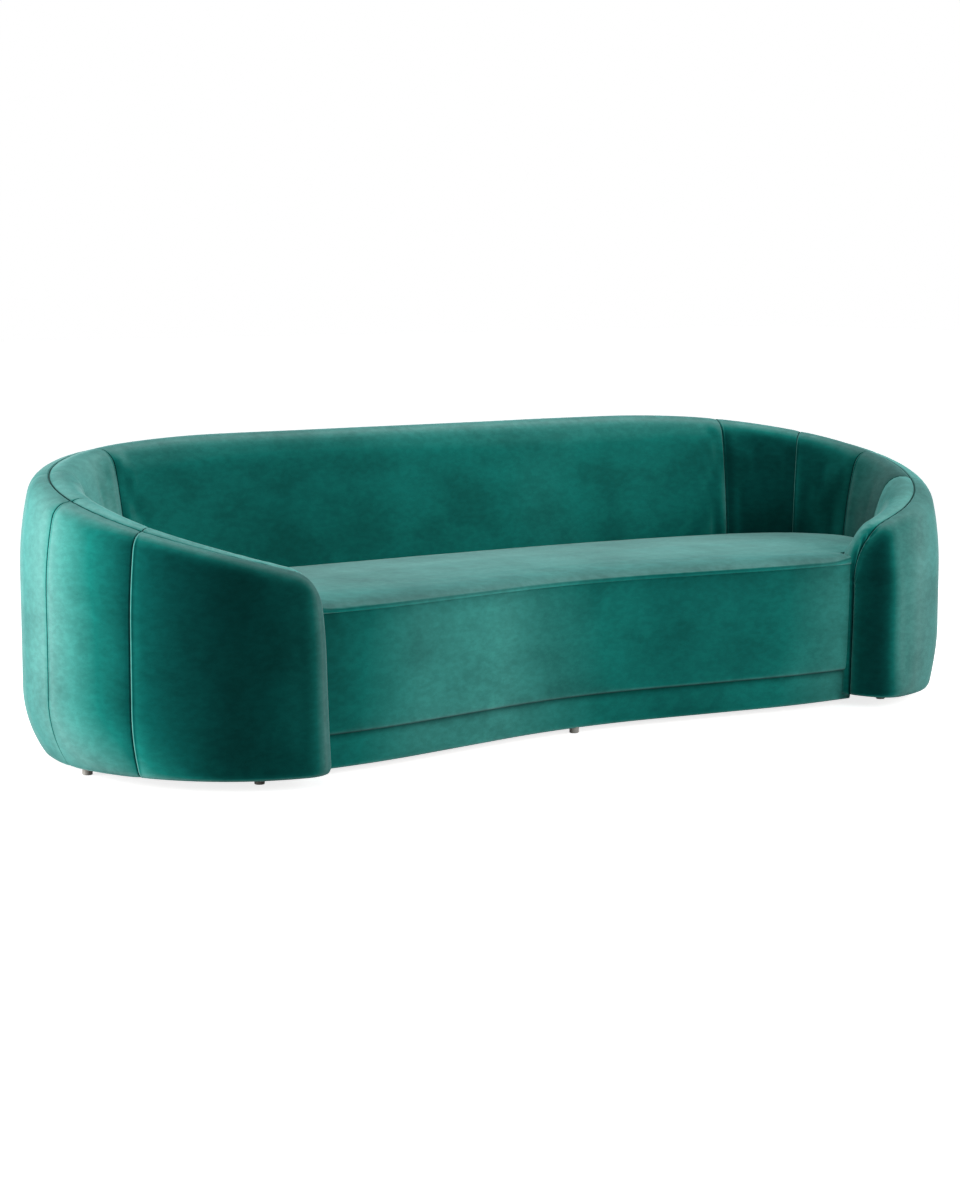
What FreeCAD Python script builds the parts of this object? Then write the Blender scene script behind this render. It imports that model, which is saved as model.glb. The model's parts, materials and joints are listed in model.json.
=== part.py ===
import FreeCAD
import Part
import math
import os

V = FreeCAD.Vector

# Curved sofa with a tight seat and a tight back, in millimetres.
# X runs along the sofa, its front faces -Y, and the glides stand on Z = 0.
# The rim seam is the guide line: a station is the distance along it from the middle of the back,
# positive towards +X, and an offset is measured square to it in plan, positive outwards.

# Driving dimensions: plan of the rim seam, one half
back_straight = 461.0
back_sweep = 482.0
back_sweep_radius = 3300.0
corner_length = 544.0
corner_radius = 408.0
arm_length = 539.0
arm_radius = 371.0
arm_front_length = 45.0
arm_front_radius = 1266.0

# Driving dimensions: heights of the rim seam
back_height = 738.0
rim_level_half = 660.0
rim_bend_length = 980.0
rim_slope = 0.27

# Driving dimensions: the wall's cross-section, offsets from the rim seam
ground_gap = 26.0
toe_out = 16.0
toe_height = 200.0
wall_out = 69.0
wall_in = 116.0
shoulder_out = 52.0
shoulder_drop = 45.0
shoulder_start_drop = 210.0
crown_inset = 32.0
crown_rise = 6.0
inner_shoulder_in = 78.0
inner_shoulder_drop = 32.0

# Driving dimensions: the soft nose at the front of each arm, its seam drawn to the inner side
nose_length = 81.0
nose_drop = 140.0
nose_seam_shift = 30.0
nose_seam_power = 4
nose_fullness = 2.7

# Driving dimensions: front line of the seat, one half
seat_depth_to_seam = 693.0
front_bow_radius = 1600.0
front_bow_turn = 8.9
front_straight = 300.0

# Driving dimensions: seat heights
seat_seam_height = 380.0
seat_crown_rise = 34.0
seat_back_rise = 31.0
apron_bottom = 96.0
plinth_gap = 16.0
plinth_recess = 12.6

# Driving dimensions: thicknesses of the layers
velvet = 1.5
layer_gap = 0.5
covered_gap = 3.0
outside_padding = 18.0
inside_foam = 45.0
bent_board = 4.0
webbing = 2.2
apron_padding = 10.0
felt = 6.0
dust_cloth = 0.8
dust_border = 6.0

# Driving dimensions: timber
plywood = 18.0
rail_thickness = 22.0
seat_rail_height = 100.0
seat_rail_top = 285.0
base_rail_width = 54.0
top_rail_width = 50.0
top_rail_thickness = 28.0
rib_spacing = 330.0
first_arm_rib = 140.0
joist_width = 45.0
joist_height = 32.0
post_size = 40.0
block_size = 70.0
corner_rail_rear = 130.0
corner_rail_front = 115.0

# Driving dimensions: springs, straps and fasteners
spring_wire = 3.8
spring_width = 48.0
spring_pitch = 44.0
spring_spacing = 150.0
clip_size = 14.0
strap_width = 60.0
strap_spacing = 165.0
screw_diameter = 5.0
screw_head = 9.0
screw_length = 55.0
glide_radius = 12.0
glide_shift = 3.0
glide_chamfer = 1.5
glide_sink_radius = 5.0
glide_sink_depth = 5.0
glide_head_height = 3.0
glide_screw_radius = 2.5
glide_screw_length = 38.0
glide_clearance = 0.4
hole_clearance = 0.3

# Stations of the sewn seams that cross the wall
corner_seam = 1026.0
end_seam = 1289.0
arm_seam = 1520.0
front_seam = 1736.0

# Values worked out from the driving dimensions
arm_end = back_straight + back_sweep + corner_length + arm_length
nose_start = arm_end + arm_front_length
plan_runs = [
    (back_straight, None),
    (back_sweep, back_sweep_radius),
    (corner_length, corner_radius),
    (arm_length, arm_radius),
    (arm_front_length + nose_length, arm_front_radius),
]
padding_start = velvet + layer_gap
outside_padding_end = padding_start + outside_padding
board_start = outside_padding_end + layer_gap
board_end = board_start + bent_board
rib_outside = board_end + layer_gap
foam_end = padding_start + inside_foam
strap_start = foam_end + layer_gap
strap_end = strap_start + webbing
rib_inside = strap_end + layer_gap
bend_step = 60.0
straight_step = 120.0
nose_cut = 0.997
nose_turns = [20, 38, 54, 67, 77]
seat_crown_height = seat_seam_height + seat_crown_rise
seat_back_height = seat_seam_height + seat_back_rise


def rim_frame(station):
    """Plan position and heading of the rim seam at a station, before it is centred in Y."""
    rest = abs(station)
    x = y = heading = 0.0
    for length, radius in plan_runs:
        step = min(rest, length)
        if radius is None:
            x += step * math.cos(heading)
            y -= step * math.sin(heading)
        else:
            turned = heading + step / radius
            x += radius * (math.sin(turned) - math.sin(heading))
            y -= radius * (math.cos(heading) - math.cos(turned))
            heading = turned
        rest -= step
        if rest <= 0:
            break
    if station < 0:
        return -x, y, -heading
    return x, y, heading


def nose_factor(station, inset=0.0):
    """How much of the wall's thickness is left at a station in the nose, one elsewhere."""
    past = max(0.0, abs(station) - nose_start)
    share = min(past / (nose_length - inset), 1.0)
    return (1.0 - share ** nose_fullness) ** (1.0 / nose_fullness)


def seam_shift(station):
    """How far the rim seam leaves its guide line, inwards round the nose."""
    past = max(0.0, abs(station) - nose_start)
    return nose_seam_shift * min(past / nose_length, 1.0) ** nose_seam_power


def lowest_plan_y():
    """Foremost point of the arms, before the plan is centred."""
    reach = []
    for step in range(120):
        station = arm_end + step
        x, y, heading = rim_frame(station)
        reach.append(y + wall_out * nose_factor(station) * math.cos(heading))
    return min(reach)


centre_shift = -(wall_out + lowest_plan_y()) / 2


def rim_point(station, offset, z=0.0):
    x, y, heading = rim_frame(station)
    offset -= seam_shift(station)
    return V(x + offset * math.sin(heading), y + centre_shift + offset * math.cos(heading), z)


def rim_height(station):
    """Height of the rim seam's line: level, bent down, then straight and sloping."""
    past = max(0.0, abs(station) - rim_level_half)
    if past < rim_bend_length:
        return back_height - rim_slope * past * past / (2 * rim_bend_length)
    return back_height - rim_slope * (past - rim_bend_length / 2)


def top_height(station, inset=0.0):
    """Height of the rim at a station, with the drop of the nose."""
    drop = nose_drop - inset
    return rim_height(station) - nose_drop + drop * nose_factor(station, inset)


# Lists of stations
run_ends = [back_straight, back_straight + back_sweep, back_straight + back_sweep + corner_length,
            arm_end, nose_start]


def stations_between(first, last):
    """Stations close enough together to follow the bends, with both ends."""
    lengths = sorted({0.0, corner_seam, end_seam, arm_seam, front_seam, *run_ends})
    marks = sorted({-length for length in lengths} | set(lengths))
    kept = [first] + [mark for mark in marks if first + 1 < mark < last - 1] + [last]
    result = [first]
    for low, high in zip(kept, kept[1:]):
        middle = abs(low + high) / 2
        bend = run_ends[1] < middle < arm_end
        parts = max(1, math.ceil((high - low) / (bend_step if bend else straight_step)))
        result += [low + (high - low) * part / parts for part in range(1, parts + 1)]
    return result


def run_marks(first, last):
    """Ends of the straight and round runs of the plan between two stations."""
    marks = sorted([-mark for mark in run_ends] + run_ends)
    return [first] + [mark for mark in marks if first + 1e-6 < mark < last - 1e-6] + [last]


def rim_edges(first, last, offset, z):
    """Exact edges, straight or round, along the rim seam at an offset."""
    edges = []
    marks = run_marks(first, last)
    for low, high in zip(marks, marks[1:]):
        start = rim_point(low, offset, z)
        end = rim_point(high, offset, z)
        if max(abs(low), abs(high)) <= back_straight + 1e-6:
            edges.append(Part.makeLine(start, end))
        else:
            middle = rim_point((low + high) / 2, offset, z)
            edges.append(Part.Arc(start, middle, end).toShape())
    return edges


def joined(edges):
    return Part.Wire(Part.__sortEdges__(edges))


def prism(edges, height):
    """Upright solid over a closed flat outline."""
    return Part.Face(joined(edges)).extrude(V(0, 0, height))


def band(first, last, inner, outer, low, high):
    """Upright curved board along the rim seam between two offsets and two heights."""
    edges = rim_edges(first, last, outer, low) + rim_edges(first, last, inner, low)
    edges.append(Part.makeLine(rim_point(first, inner, low), rim_point(first, outer, low)))
    edges.append(Part.makeLine(rim_point(last, inner, low), rim_point(last, outer, low)))
    return prism(edges, high - low)


# Cross-section of the wall: offset and height of each point, inset into the velvet
def outside_points(station, inset):
    """Toe, bulge and shoulder of the outer face, from the bottom up to the rim seam."""
    k = nose_factor(station, inset)
    top = top_height(station, inset)
    out = wall_out - inset
    shoulder = shoulder_out - 0.85 * inset
    toe = toe_out - inset
    full = rim_height(station) - nose_drop
    start = min(top - (shoulder_start_drop - inset) * k, full)
    points = [
        (toe * k, ground_gap),
        ((toe + (out - toe) * 0.72) * k, ground_gap + (toe_height - ground_gap) * 0.42),
        (out * k, toe_height),
        (out * k, start),
        ((out - 5) * k, start + (top - start) * 0.42),
        (shoulder * k, top - (shoulder_drop - 0.5 * inset) * k),
        ((shoulder - 15) * k, top - (shoulder_drop - 0.5 * inset) * k * 0.28),
        (0.0, top),
    ]
    return points


def half_gap(inset):
    """Gap between the two halves in the plane of the rim seam, wider under the covers."""
    return layer_gap if inset <= velvet else covered_gap


def inside_points(station, inset, low):
    """Crown, inner shoulder and leaning inner face, from the rim seam down."""
    k = nose_factor(station, inset)
    top = top_height(station, inset)
    shoulder = inner_shoulder_in - 0.75 * inset
    shoulder_z = top - (inner_shoulder_drop - 0.35 * inset) * k
    face = wall_in - inset
    bend_drop = rim_height(nose_start) - seat_back_height
    foot_z = min(seat_back_height, top - bend_drop * k)
    points = [
        (-half_gap(inset), top),
        (-(crown_inset - 0.3 * inset) * k - layer_gap, top + crown_rise * k),
        (-shoulder * k - layer_gap, shoulder_z),
        (-(shoulder * 0.4 + face * 0.6 + 3) * k - layer_gap, shoulder_z * 0.45 + foot_z * 0.55),
        (-face * k - layer_gap, foot_z),
        (-face * k - layer_gap, low),
    ]
    return points


def placed(station, points):
    return [rim_point(station, offset, z) for offset, z in points]


def arc(points, first):
    return Part.Arc(points[first], points[first + 1], points[first + 2]).toShape()


def outside_edges(p):
    return [arc(p, 0), Part.makeLine(p[2], p[3]), arc(p, 3), arc(p, 5)]


def inside_edges(p):
    return [arc(p, 0), arc(p, 2), Part.makeLine(p[4], p[5])]


def half_points(side, station, inset, low):
    if side == "outside":
        return placed(station, outside_points(station, inset))
    return placed(station, inside_points(station, inset, low))


def half_edges(side, points):
    return outside_edges(points) if side == "outside" else inside_edges(points)


def layer_wire(side, station, near, far, low):
    """Closed section of one layer between two insets."""
    a = half_points(side, station, near, low)
    b = half_points(side, station, far, low)
    edges = half_edges(side, a) + half_edges(side, b)
    edges += [Part.makeLine(a[0], b[0]), Part.makeLine(a[-1], b[-1])]
    return joined(edges)


def full_wire(side, station, near, low):
    """Closed section of everything between one inset and the plane of the rim seam."""
    a = half_points(side, station, near, low)
    foot = rim_point(station, 0.0 if side == "outside" else -half_gap(near), low)
    rim = a[-1] if side == "outside" else a[0]
    end = a[0] if side == "outside" else a[-1]
    edges = half_edges(side, a) + [Part.makeLine(rim, foot), Part.makeLine(foot, end)]
    return joined(edges)


def loft(wires):
    return Part.makeLoft(wires, True, False)


def nose_share(turn):
    """Share of the nose's length at which its outline has turned by an angle."""
    return math.sin(math.radians(turn)) ** (2.0 / nose_fullness)


def nose_stations(sign, inset, start=0.0):
    """Stations through the nose for a layer at an inset, the last one almost at its tip."""
    length = nose_length - inset
    past = [length * nose_share(turn) for turn in nose_turns] + [length * nose_cut]
    past = [start] + [step for step in past if step > start + 0.5]
    return [sign * (nose_start + step) for step in past]


def nose_layer(side, sign, near, far, low):
    """One layer wrapped round the nose: a hollow run, then a closed tip."""
    hollow = nose_stations(sign, far)
    tip = nose_stations(sign, near, abs(hollow[-1]) - nose_start)
    shell = loft([layer_wire(side, station, near, far, low) for station in hollow])
    cap = loft([full_wire(side, station, near, low) for station in tip])
    return shell.fuse(cap)


def layer(side, first, last, near, far, low=ground_gap):
    """One layer of the wall along a run of stations, closed by a nose where it reaches one."""
    start = max(first, -nose_start)
    end = min(last, nose_start)
    wires = [layer_wire(side, station, near, far, low) for station in stations_between(start, end)]
    solid = loft(wires)
    if first < -nose_start:
        solid = solid.fuse(nose_layer(side, -1, near, far, low)).removeSplitter()
    if last > nose_start:
        solid = solid.fuse(nose_layer(side, 1, near, far, low)).removeSplitter()
    return solid


# Front line of the seat: distance along it from the middle, positive towards +X
front_bow = front_bow_radius * math.radians(front_bow_turn)
front_marks = [front_bow, front_bow + front_straight, 2 * front_bow + front_straight]
front_middle_y = centre_shift - seat_depth_to_seam


def front_frame(distance):
    rest = abs(distance)
    slope = math.radians(front_bow_turn)
    x = min(rest, front_bow)
    angle = x / front_bow_radius
    px = front_bow_radius * math.sin(angle)
    py = -front_bow_radius * (1 - math.cos(angle))
    rest -= x
    step = max(0.0, min(rest, front_straight))
    px += step * math.cos(slope)
    py -= step * math.sin(slope)
    rest -= step
    step = max(0.0, min(rest, front_bow))
    turned = slope - step / front_bow_radius
    if step > 0:
        px += front_bow_radius * (math.sin(slope) - math.sin(turned))
        py -= front_bow_radius * (math.cos(turned) - math.cos(slope))
        angle = turned
    rest -= step
    px += max(0.0, rest)
    heading = angle if abs(distance) < front_marks[2] else 0.0
    if distance < 0:
        return -px, py, -heading
    return px, py, heading


def front_point(distance, inset, z=0.0):
    """Point on the front line, set back square to it."""
    x, y, heading = front_frame(distance)
    return V(x + inset * math.sin(heading), front_middle_y + y + inset * math.cos(heading), z)


def front_edges(half, inset, z):
    marks = sorted({-half, half, *[m for m in front_marks if m < half],
                    *[-m for m in front_marks if m < half]})
    edges = []
    for low, high in zip(marks, marks[1:]):
        start = front_point(low, inset, z)
        end = front_point(high, inset, z)
        middle = abs(low + high) / 2
        straight = front_marks[0] < middle < front_marks[1] or middle > front_marks[2]
        if straight:
            edges.append(Part.makeLine(start, end))
        else:
            edges.append(Part.Arc(start, front_point((low + high) / 2, inset, z), end).toShape())
    return edges


def distance_at_x(x, inset):
    """Distance along the front line at which a line set back by an inset reaches an X."""
    low, high = 0.0, 1500.0
    for _ in range(50):
        middle = (low + high) / 2
        if front_point(middle, inset).x < x:
            low = middle
        else:
            high = middle
    return low


def front_board(near, far, low, high, half_width):
    """Curved upright board behind the front line, between two set-backs."""
    half_near = distance_at_x(half_width, near)
    half_far = distance_at_x(half_width, far)
    edges = front_edges(half_near, near, low) + front_edges(half_far, far, low)
    for sign in (-1, 1):
        a = front_point(sign * half_near, near, low)
        b = front_point(sign * half_far, far, low)
        edges.append(Part.makeLine(a, b))
    return prism(edges, high - low)


def nose_inner_point(turn, clear, z):
    """Point on the inner side of the nose, held clear of it towards the seat."""
    station = nose_start + (nose_length + clear) * nose_share(turn)
    depth = (wall_in + layer_gap + clear) * nose_share(90.0 - turn)
    return rim_point(station, -depth, z)


def nose_turn_at_front(clear, inset):
    """Turn of the nose at which it meets the front line."""
    low, high = 0.0, 89.0
    for _ in range(50):
        middle = (low + high) / 2
        point = nose_inner_point(middle, clear, 0)
        line_y = front_point(distance_at_x(point.x, inset), inset).y
        if point.y > line_y:
            low = middle
        else:
            high = middle
    return low


def seat_outline(inset, clear, z):
    """Closed outline of the seat between the front line and the inner face of the wall."""
    turn = nose_turn_at_front(clear, inset)
    corner = nose_inner_point(turn, clear, z)
    half = distance_at_x(corner.x, inset)
    edges = front_edges(half, inset, z)
    edges += rim_edges(-nose_start, nose_start, -wall_in - layer_gap - clear, z)
    for sign in (-1, 1):
        steps = [nose_inner_point(turn * share / 4, clear, z) for share in range(5)]
        steps[-1] = front_point(half, inset, z)
        points = [V(sign * p.x, p.y, p.z) for p in steps]
        edges.append(Part.Arc(points[0], points[1], points[2]).toShape())
        edges.append(Part.Arc(points[2], points[3], points[4]).toShape())
    return edges


front_clear = 1.5
apron_half_width = nose_inner_point(nose_turn_at_front(front_clear, 0), front_clear, 0).x - 1.0
front_board_start = velvet + 2 * layer_gap + apron_padding
front_rail_start = front_board_start + bent_board + layer_gap
front_rail_end = front_rail_start + rail_thickness
plinth_board_start = plinth_recess + velvet + layer_gap
plinth_top = apron_bottom - 2.0
end_rail_out = -(wall_in - rib_inside) - layer_gap - 0.5
end_rail_in = end_rail_out - rail_thickness
rail_middle = (front_rail_start + front_rail_end) / 2
base_rail_in = -(wall_in - rib_inside) - layer_gap
base_rail_out = base_rail_in + base_rail_width


# Seat
def crown_section(x, drop):
    """Upright section of the seat's crowned top, from front to back, at an X."""
    front = front_point(math.copysign(distance_at_x(abs(x), 0), x), 0).y
    rise = seat_crown_height - seat_seam_height
    seam = seat_seam_height - drop
    level = [(0.0, seam), (45.0, seam + rise * 0.62), (130.0, seam + rise * 0.86),
             (330.0, seam + rise), (1000.0, seat_back_height - drop - 6)]
    points = [V(x, front - 5 + step, height) for step, height in level]
    base = seat_rail_top - 60
    corners = [V(x, points[0].y, base), V(x, points[-1].y, base)]
    edges = [
        Part.makeLine(corners[0], points[0]),
        Part.Arc(points[0], points[1], points[2]).toShape(),
        Part.Arc(points[2], points[3], points[4]).toShape(),
        Part.makeLine(points[4], corners[1]),
        Part.makeLine(corners[1], corners[0]),
    ]
    return joined(edges)


def crown_form(drop):
    """Solid under the seat's crowned surface, wider than the seat."""
    steps = [-1250, -980, -820, -660, -500, -340, -170, 0, 170, 340, 500, 660, 820, 980, 1250]
    return loft([crown_section(x, drop) for x in steps])


def seat_foam():
    bottom = seat_rail_top + clip_size * 0.7 + felt + 2 * layer_gap
    block = prism(seat_outline(front_board_start, 2.0, bottom), seat_back_height)
    return block.common(crown_form(velvet + layer_gap))


def seat_cover():
    sheet = crown_form(0.0).cut(crown_form(velvet))
    block = prism(seat_outline(0.0, front_clear, seat_seam_height - 30), seat_back_height)
    flap = seat_seam_height - velvet
    cover = block.common(sheet)
    lid = Part.makeBox(4000, 4000, 4000, V(-2000, -2000, flap))
    return cover.common(lid)


def seat_felt():
    bottom = seat_rail_top + clip_size * 0.7 + layer_gap
    return prism(seat_outline(front_rail_start, 2.0, bottom), felt)


def apron_cover():
    return front_board(0, velvet, apron_bottom, seat_seam_height - velvet - layer_gap,
                       apron_half_width)


def apron_foam():
    return front_board(velvet + layer_gap, velvet + layer_gap + apron_padding, apron_bottom,
                       seat_seam_height - velvet - 2 * layer_gap, apron_half_width - 4)


def apron_board():
    return front_board(front_board_start, front_board_start + bent_board, apron_bottom,
                       seat_rail_top, apron_half_width - 8)


def plinth_cover():
    return front_board(plinth_recess, plinth_recess + velvet, plinth_gap, plinth_top,
                       apron_half_width - 8)


def plinth_board():
    return front_board(plinth_board_start, plinth_board_start + plywood, plinth_gap, plinth_top,
                       apron_half_width - 12)


# Timber
def seat_front_rail():
    rail = front_board(front_rail_start, front_rail_end, seat_rail_top - seat_rail_height,
                       seat_rail_top, apron_half_width - 14)
    for screw_hole in screw_holes(joist_x()):
        rail = rail.cut(screw_hole)
    return rail


def seat_back_rail():
    return band(-corner_seam, corner_seam, end_rail_in, end_rail_out,
                seat_rail_top - seat_rail_height, seat_rail_top)


def seat_end_rail(sign):
    ends = sorted([sign * (corner_seam + layer_gap), sign * front_seam])
    return band(ends[0], ends[1], end_rail_in, end_rail_out,
                seat_rail_top - seat_rail_height, seat_rail_top)


def corner_rail_line(sign):
    """Plan line of the short straight rail that joins the end rail to the front rail."""
    outer = rim_point(sign * (front_seam - corner_rail_rear), end_rail_out)
    inner = front_point(sign * distance_at_x(apron_half_width - corner_rail_front,
                                             front_rail_start), front_rail_start)
    return outer, inner


def slab_between(a, b, width, low, high):
    """Upright rectangular timber between two plan points."""
    along = V(b.x - a.x, b.y - a.y, 0)
    side = V(-along.y, along.x, 0).normalize() * (width / 2)
    corners = [a + side, b + side, b - side, a - side]
    points = [V(p.x, p.y, low) for p in corners]
    return prism([Part.makeLine(points[i], points[(i + 1) % 4]) for i in range(4)], high - low)


def seat_corner_rail(sign):
    """Straight rail, its ends cut to the curved rails that it joins."""
    outer, inner = corner_rail_line(sign)
    low = seat_rail_top - seat_rail_height
    slab = slab_between(outer, inner, rail_thickness, low, seat_rail_top)
    ends = sorted([sign * corner_seam, sign * front_seam])
    end_rail = band(*ends, end_rail_in - layer_gap, 0.0, low - 1, seat_rail_top + 1)
    front_rail = front_board(0.0, front_rail_end + layer_gap, low - 1, seat_rail_top + 1,
                             apron_half_width)
    return slab.cut(end_rail).cut(front_rail)


def joist_x():
    return [-660.0, -330.0, 0.0, 330.0, 660.0]


def inner_line_y(x, offset):
    """Y at which the back's part of the rim line, at an offset, reaches an X."""
    low, high = 0.0, corner_seam + 300
    for _ in range(50):
        middle = (low + high) / 2
        if rim_point(middle, offset).x < abs(x):
            low = middle
        else:
            high = middle
    return rim_point(low, offset).y


def front_line_y(x, inset):
    return front_point(distance_at_x(abs(x), inset), inset).y


def joist_span(x, half, inset, offset):
    """Front and back ends of a timber that fits between two curved boards."""
    front = max(front_line_y(abs(x) + step, inset) for step in (-half, 0, half))
    back = min(inner_line_y(abs(x) + step, offset) for step in (-half, 0, half))
    return front + layer_gap, back - layer_gap


def seat_cross_rails():
    rails = []
    for x in joist_x():
        front, back = joist_span(x, joist_width / 2, front_rail_end, end_rail_in)
        low = seat_rail_top - seat_rail_height
        rails.append(Part.makeBox(joist_width, back - front, joist_height,
                                  V(x - joist_width / 2, front, low)))
    shape = Part.Compound(rails)
    for screw_hole in screw_holes(joist_x()):
        shape = shape.cut(screw_hole)
    return shape


def base_cross_rails():
    rails = []
    for x in joist_x():
        front, back = joist_span(x, joist_width / 2, plinth_board_start + plywood, base_rail_in)
        rails.append(Part.makeBox(joist_width, back - front, joist_height,
                                  V(x - joist_width / 2, front, ground_gap)))
    return Part.Compound(rails)


def front_posts():
    """Short posts that stand on the base cross rails and carry the seat cross rails."""
    posts = []
    low = ground_gap + joist_height
    high = seat_rail_top - seat_rail_height
    for x in joist_x():
        front, back = joist_span(x, joist_width / 2, front_rail_end, end_rail_in)
        for y in (front + 20, (front + back) / 2, back - 20 - post_size):
            posts.append(Part.makeBox(post_size, post_size, high - low,
                                      V(x - post_size / 2, y, low)))
    return Part.Compound(posts)


def screw_axis(x):
    """Plan start and direction of a screw through the front rail into a joist's end."""
    distance = math.copysign(distance_at_x(abs(x), front_rail_start), x)
    return front_point(distance, front_rail_start, seat_rail_top - seat_rail_height
                       + joist_height / 2)


def screw_holes(places):
    radius = screw_diameter / 2 + hole_clearance
    holes = []
    for x in places:
        start = screw_axis(x)
        base = V(x, start.y - 2, start.z)
        holes.append(Part.makeCylinder(radius, screw_length + 4, base, V(0, 1, 0)))
        sink = Part.makeCylinder(screw_head / 2 + hole_clearance, 6.5, base, V(0, 1, 0))
        holes.append(sink)
    return holes


def frame_screws():
    screws = []
    for x in joist_x():
        start = screw_axis(x)
        base = V(x, start.y + 1.0, start.z)
        shank = Part.makeCylinder(screw_diameter / 2, screw_length - 4, base, V(0, 1, 0))
        head = Part.makeCylinder(screw_head / 2, 3.2, base, V(0, 1, 0))
        screws.append(head.fuse(shank).removeSplitter())
    return Part.Compound(screws)


def base_rail(first, last):
    return band(first, last, base_rail_in, base_rail_out, ground_gap, ground_gap + plywood)


def rib_stations(first, last):
    count = max(2, round((last - first) / rib_spacing) + 1)
    return [first + (last - first) * i / (count - 1) for i in range(count)]


def rib(station):
    """Plywood rib: the wall's section inside the layers, cut level under the top rail."""
    outer = placed(station, outside_points(station, rib_outside))
    inner = placed(station, inside_points(station, rib_inside, ground_gap))
    edges = outside_edges(outer) + inside_edges(inner)
    edges += [Part.makeLine(outer[-1], inner[0]), Part.makeLine(inner[-1], outer[0])]
    x, y, heading = rim_frame(station)
    along = V(math.cos(heading), -math.sin(heading), 0)
    face = Part.Face(joined(edges))
    face.translate(along * (-plywood / 2))
    solid = face.extrude(along * plywood)
    slope = rim_height(abs(station)) - rim_height(abs(station) + plywood / 2)
    top = rim_height(station) - top_rail_drop() - top_rail_thickness - slope * 1.2
    if slope > 0.01:
        top -= layer_gap
    low = ground_gap + plywood
    keep = Part.makeBox(4000, 4000, top - low, V(-2000, -2000, low))
    return solid.common(keep)


def top_rail_drop():
    return rib_inside + 1.5


def ribs(first, last):
    return Part.Compound([rib(station) for station in rib_stations(first, last)])


def top_rail(first, last):
    """Rail on the ribs that follows the rim, level on the back and sloping on the arms."""
    wires = []
    inner = -(crown_inset - 4)
    for station in stations_between(first, last):
        top = rim_height(station) - top_rail_drop()
        corners = [(inner, top), (inner + top_rail_width, top),
                   (inner + top_rail_width, top - top_rail_thickness),
                   (inner, top - top_rail_thickness)]
        points = placed(station, corners)
        wires.append(joined([Part.makeLine(points[i], points[(i + 1) % 4]) for i in range(4)]))
    return loft(wires)


def nose_post(sign):
    """Shaped timber post inside the nose of an arm."""
    length = nose_length - rib_inside
    first = nose_start + plywood / 2 + layer_gap
    steps = [first, nose_start + length * 0.5, nose_start + length * 0.8, nose_start + length * 0.95]
    wires = []
    for station in [sign * step for step in steps]:
        outer = placed(station, outside_points(station, rib_outside))
        inner = placed(station, inside_points(station, rib_inside, ground_gap))
        edges = outside_edges(outer) + inside_edges(inner)
        edges += [Part.makeLine(outer[-1], inner[0]), Part.makeLine(inner[-1], outer[0])]
        wires.append(joined(edges))
    return loft(wires)


def corner_blocks():
    """Glued triangular blocks where the joists meet the front rail."""
    blocks = []
    low = seat_rail_top - seat_rail_height
    for x in joist_x():
        for side in (-1, 1):
            edge = x + side * (joist_width / 2 + layer_gap)
            far = edge + side * block_size
            y = max(front_line_y(edge, front_rail_end), front_line_y(far, front_rail_end))
            y += layer_gap
            points = [V(edge, y, low), V(far, y, low), V(edge, y + block_size, low)]
            blocks.append(prism([Part.makeLine(points[i], points[(i + 1) % 3]) for i in range(3)],
                                joist_height))
    return Part.Compound(blocks)


# Springs and straps
def spring_x():
    count = int((apron_half_width - 100) / spring_spacing)
    return [spring_spacing * i for i in range(-count, count + 1)]


def spring_ends(x):
    front = front_line_y(x, rail_middle)
    back = inner_line_y(x, (end_rail_in + end_rail_out) / 2)
    return front, back


def spring(x):
    """Flat zigzag of wire: straight runs across and half turns between them."""
    front, back = spring_ends(x)
    half = spring_width / 2
    turns = int((back - front) / spring_pitch)
    pitch = (back - front) / turns
    radius = pitch / 2
    z = seat_rail_top + clip_size * 0.35
    edges = []
    side = 1
    for index in range(turns + 1):
        y = front + index * pitch
        reach_start = half if index else clip_size
        reach_end = half if index < turns else clip_size
        start = V(x - side * reach_start, y, z)
        end = V(x + side * reach_end, y, z)
        edges.append(Part.makeLine(start, end))
        if index < turns:
            centre = V(end.x, y + radius, z)
            tip = V(end.x + side * radius, y + radius, z)
            lean = radius * math.sqrt(0.5)
            first = V(centre.x + side * lean, centre.y - lean, z)
            second = V(centre.x + side * lean, centre.y + lean, z)
            last = V(end.x, y + pitch, z)
            edges.append(Part.Arc(end, first, tip).toShape())
            edges.append(Part.Arc(tip, second, last).toShape())
        side = -side
    path = Part.Wire(edges)
    first = edges[0].Vertexes[0].Point
    ring = Part.Wire(Part.makeCircle(spring_wire / 2, first, V(1, 0, 0)))
    return path.makePipeShell([ring], True, False)


def seat_springs():
    return Part.Compound([spring(x) for x in spring_x()])


def spring_clips():
    """Bent clips on the rails, each round the end run of a spring."""
    clips = []
    height = clip_size * 0.7
    for x in spring_x():
        for y in spring_ends(x):
            block = Part.makeBox(clip_size, clip_size, height,
                                 V(x - clip_size / 2, y - clip_size / 2, seat_rail_top))
            hole = Part.makeCylinder(spring_wire / 2 + hole_clearance, clip_size + 4,
                                     V(x - clip_size / 2 - 2, y, seat_rail_top + height / 2),
                                     V(1, 0, 0))
            clips.append(block.cut(hole))
    return Part.Compound(clips)


def back_straps():
    """Elastic straps from over the top rail down to the seat back rail."""
    straps = []
    count = int((corner_seam - strap_width) / strap_spacing)
    for index in range(-count, count + 1):
        middle = index * strap_spacing
        straps.append(layer("inside", middle - strap_width / 2, middle + strap_width / 2,
                            strap_start, strap_end, seat_rail_top + 5))
    return Part.Compound(straps)


# Feet and dust cover
def plinth_glides():
    """Plan position of the glide in the middle of the plinth board."""
    return [front_point(0.0, plinth_board_start + plywood / 2 + glide_shift)]


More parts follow.
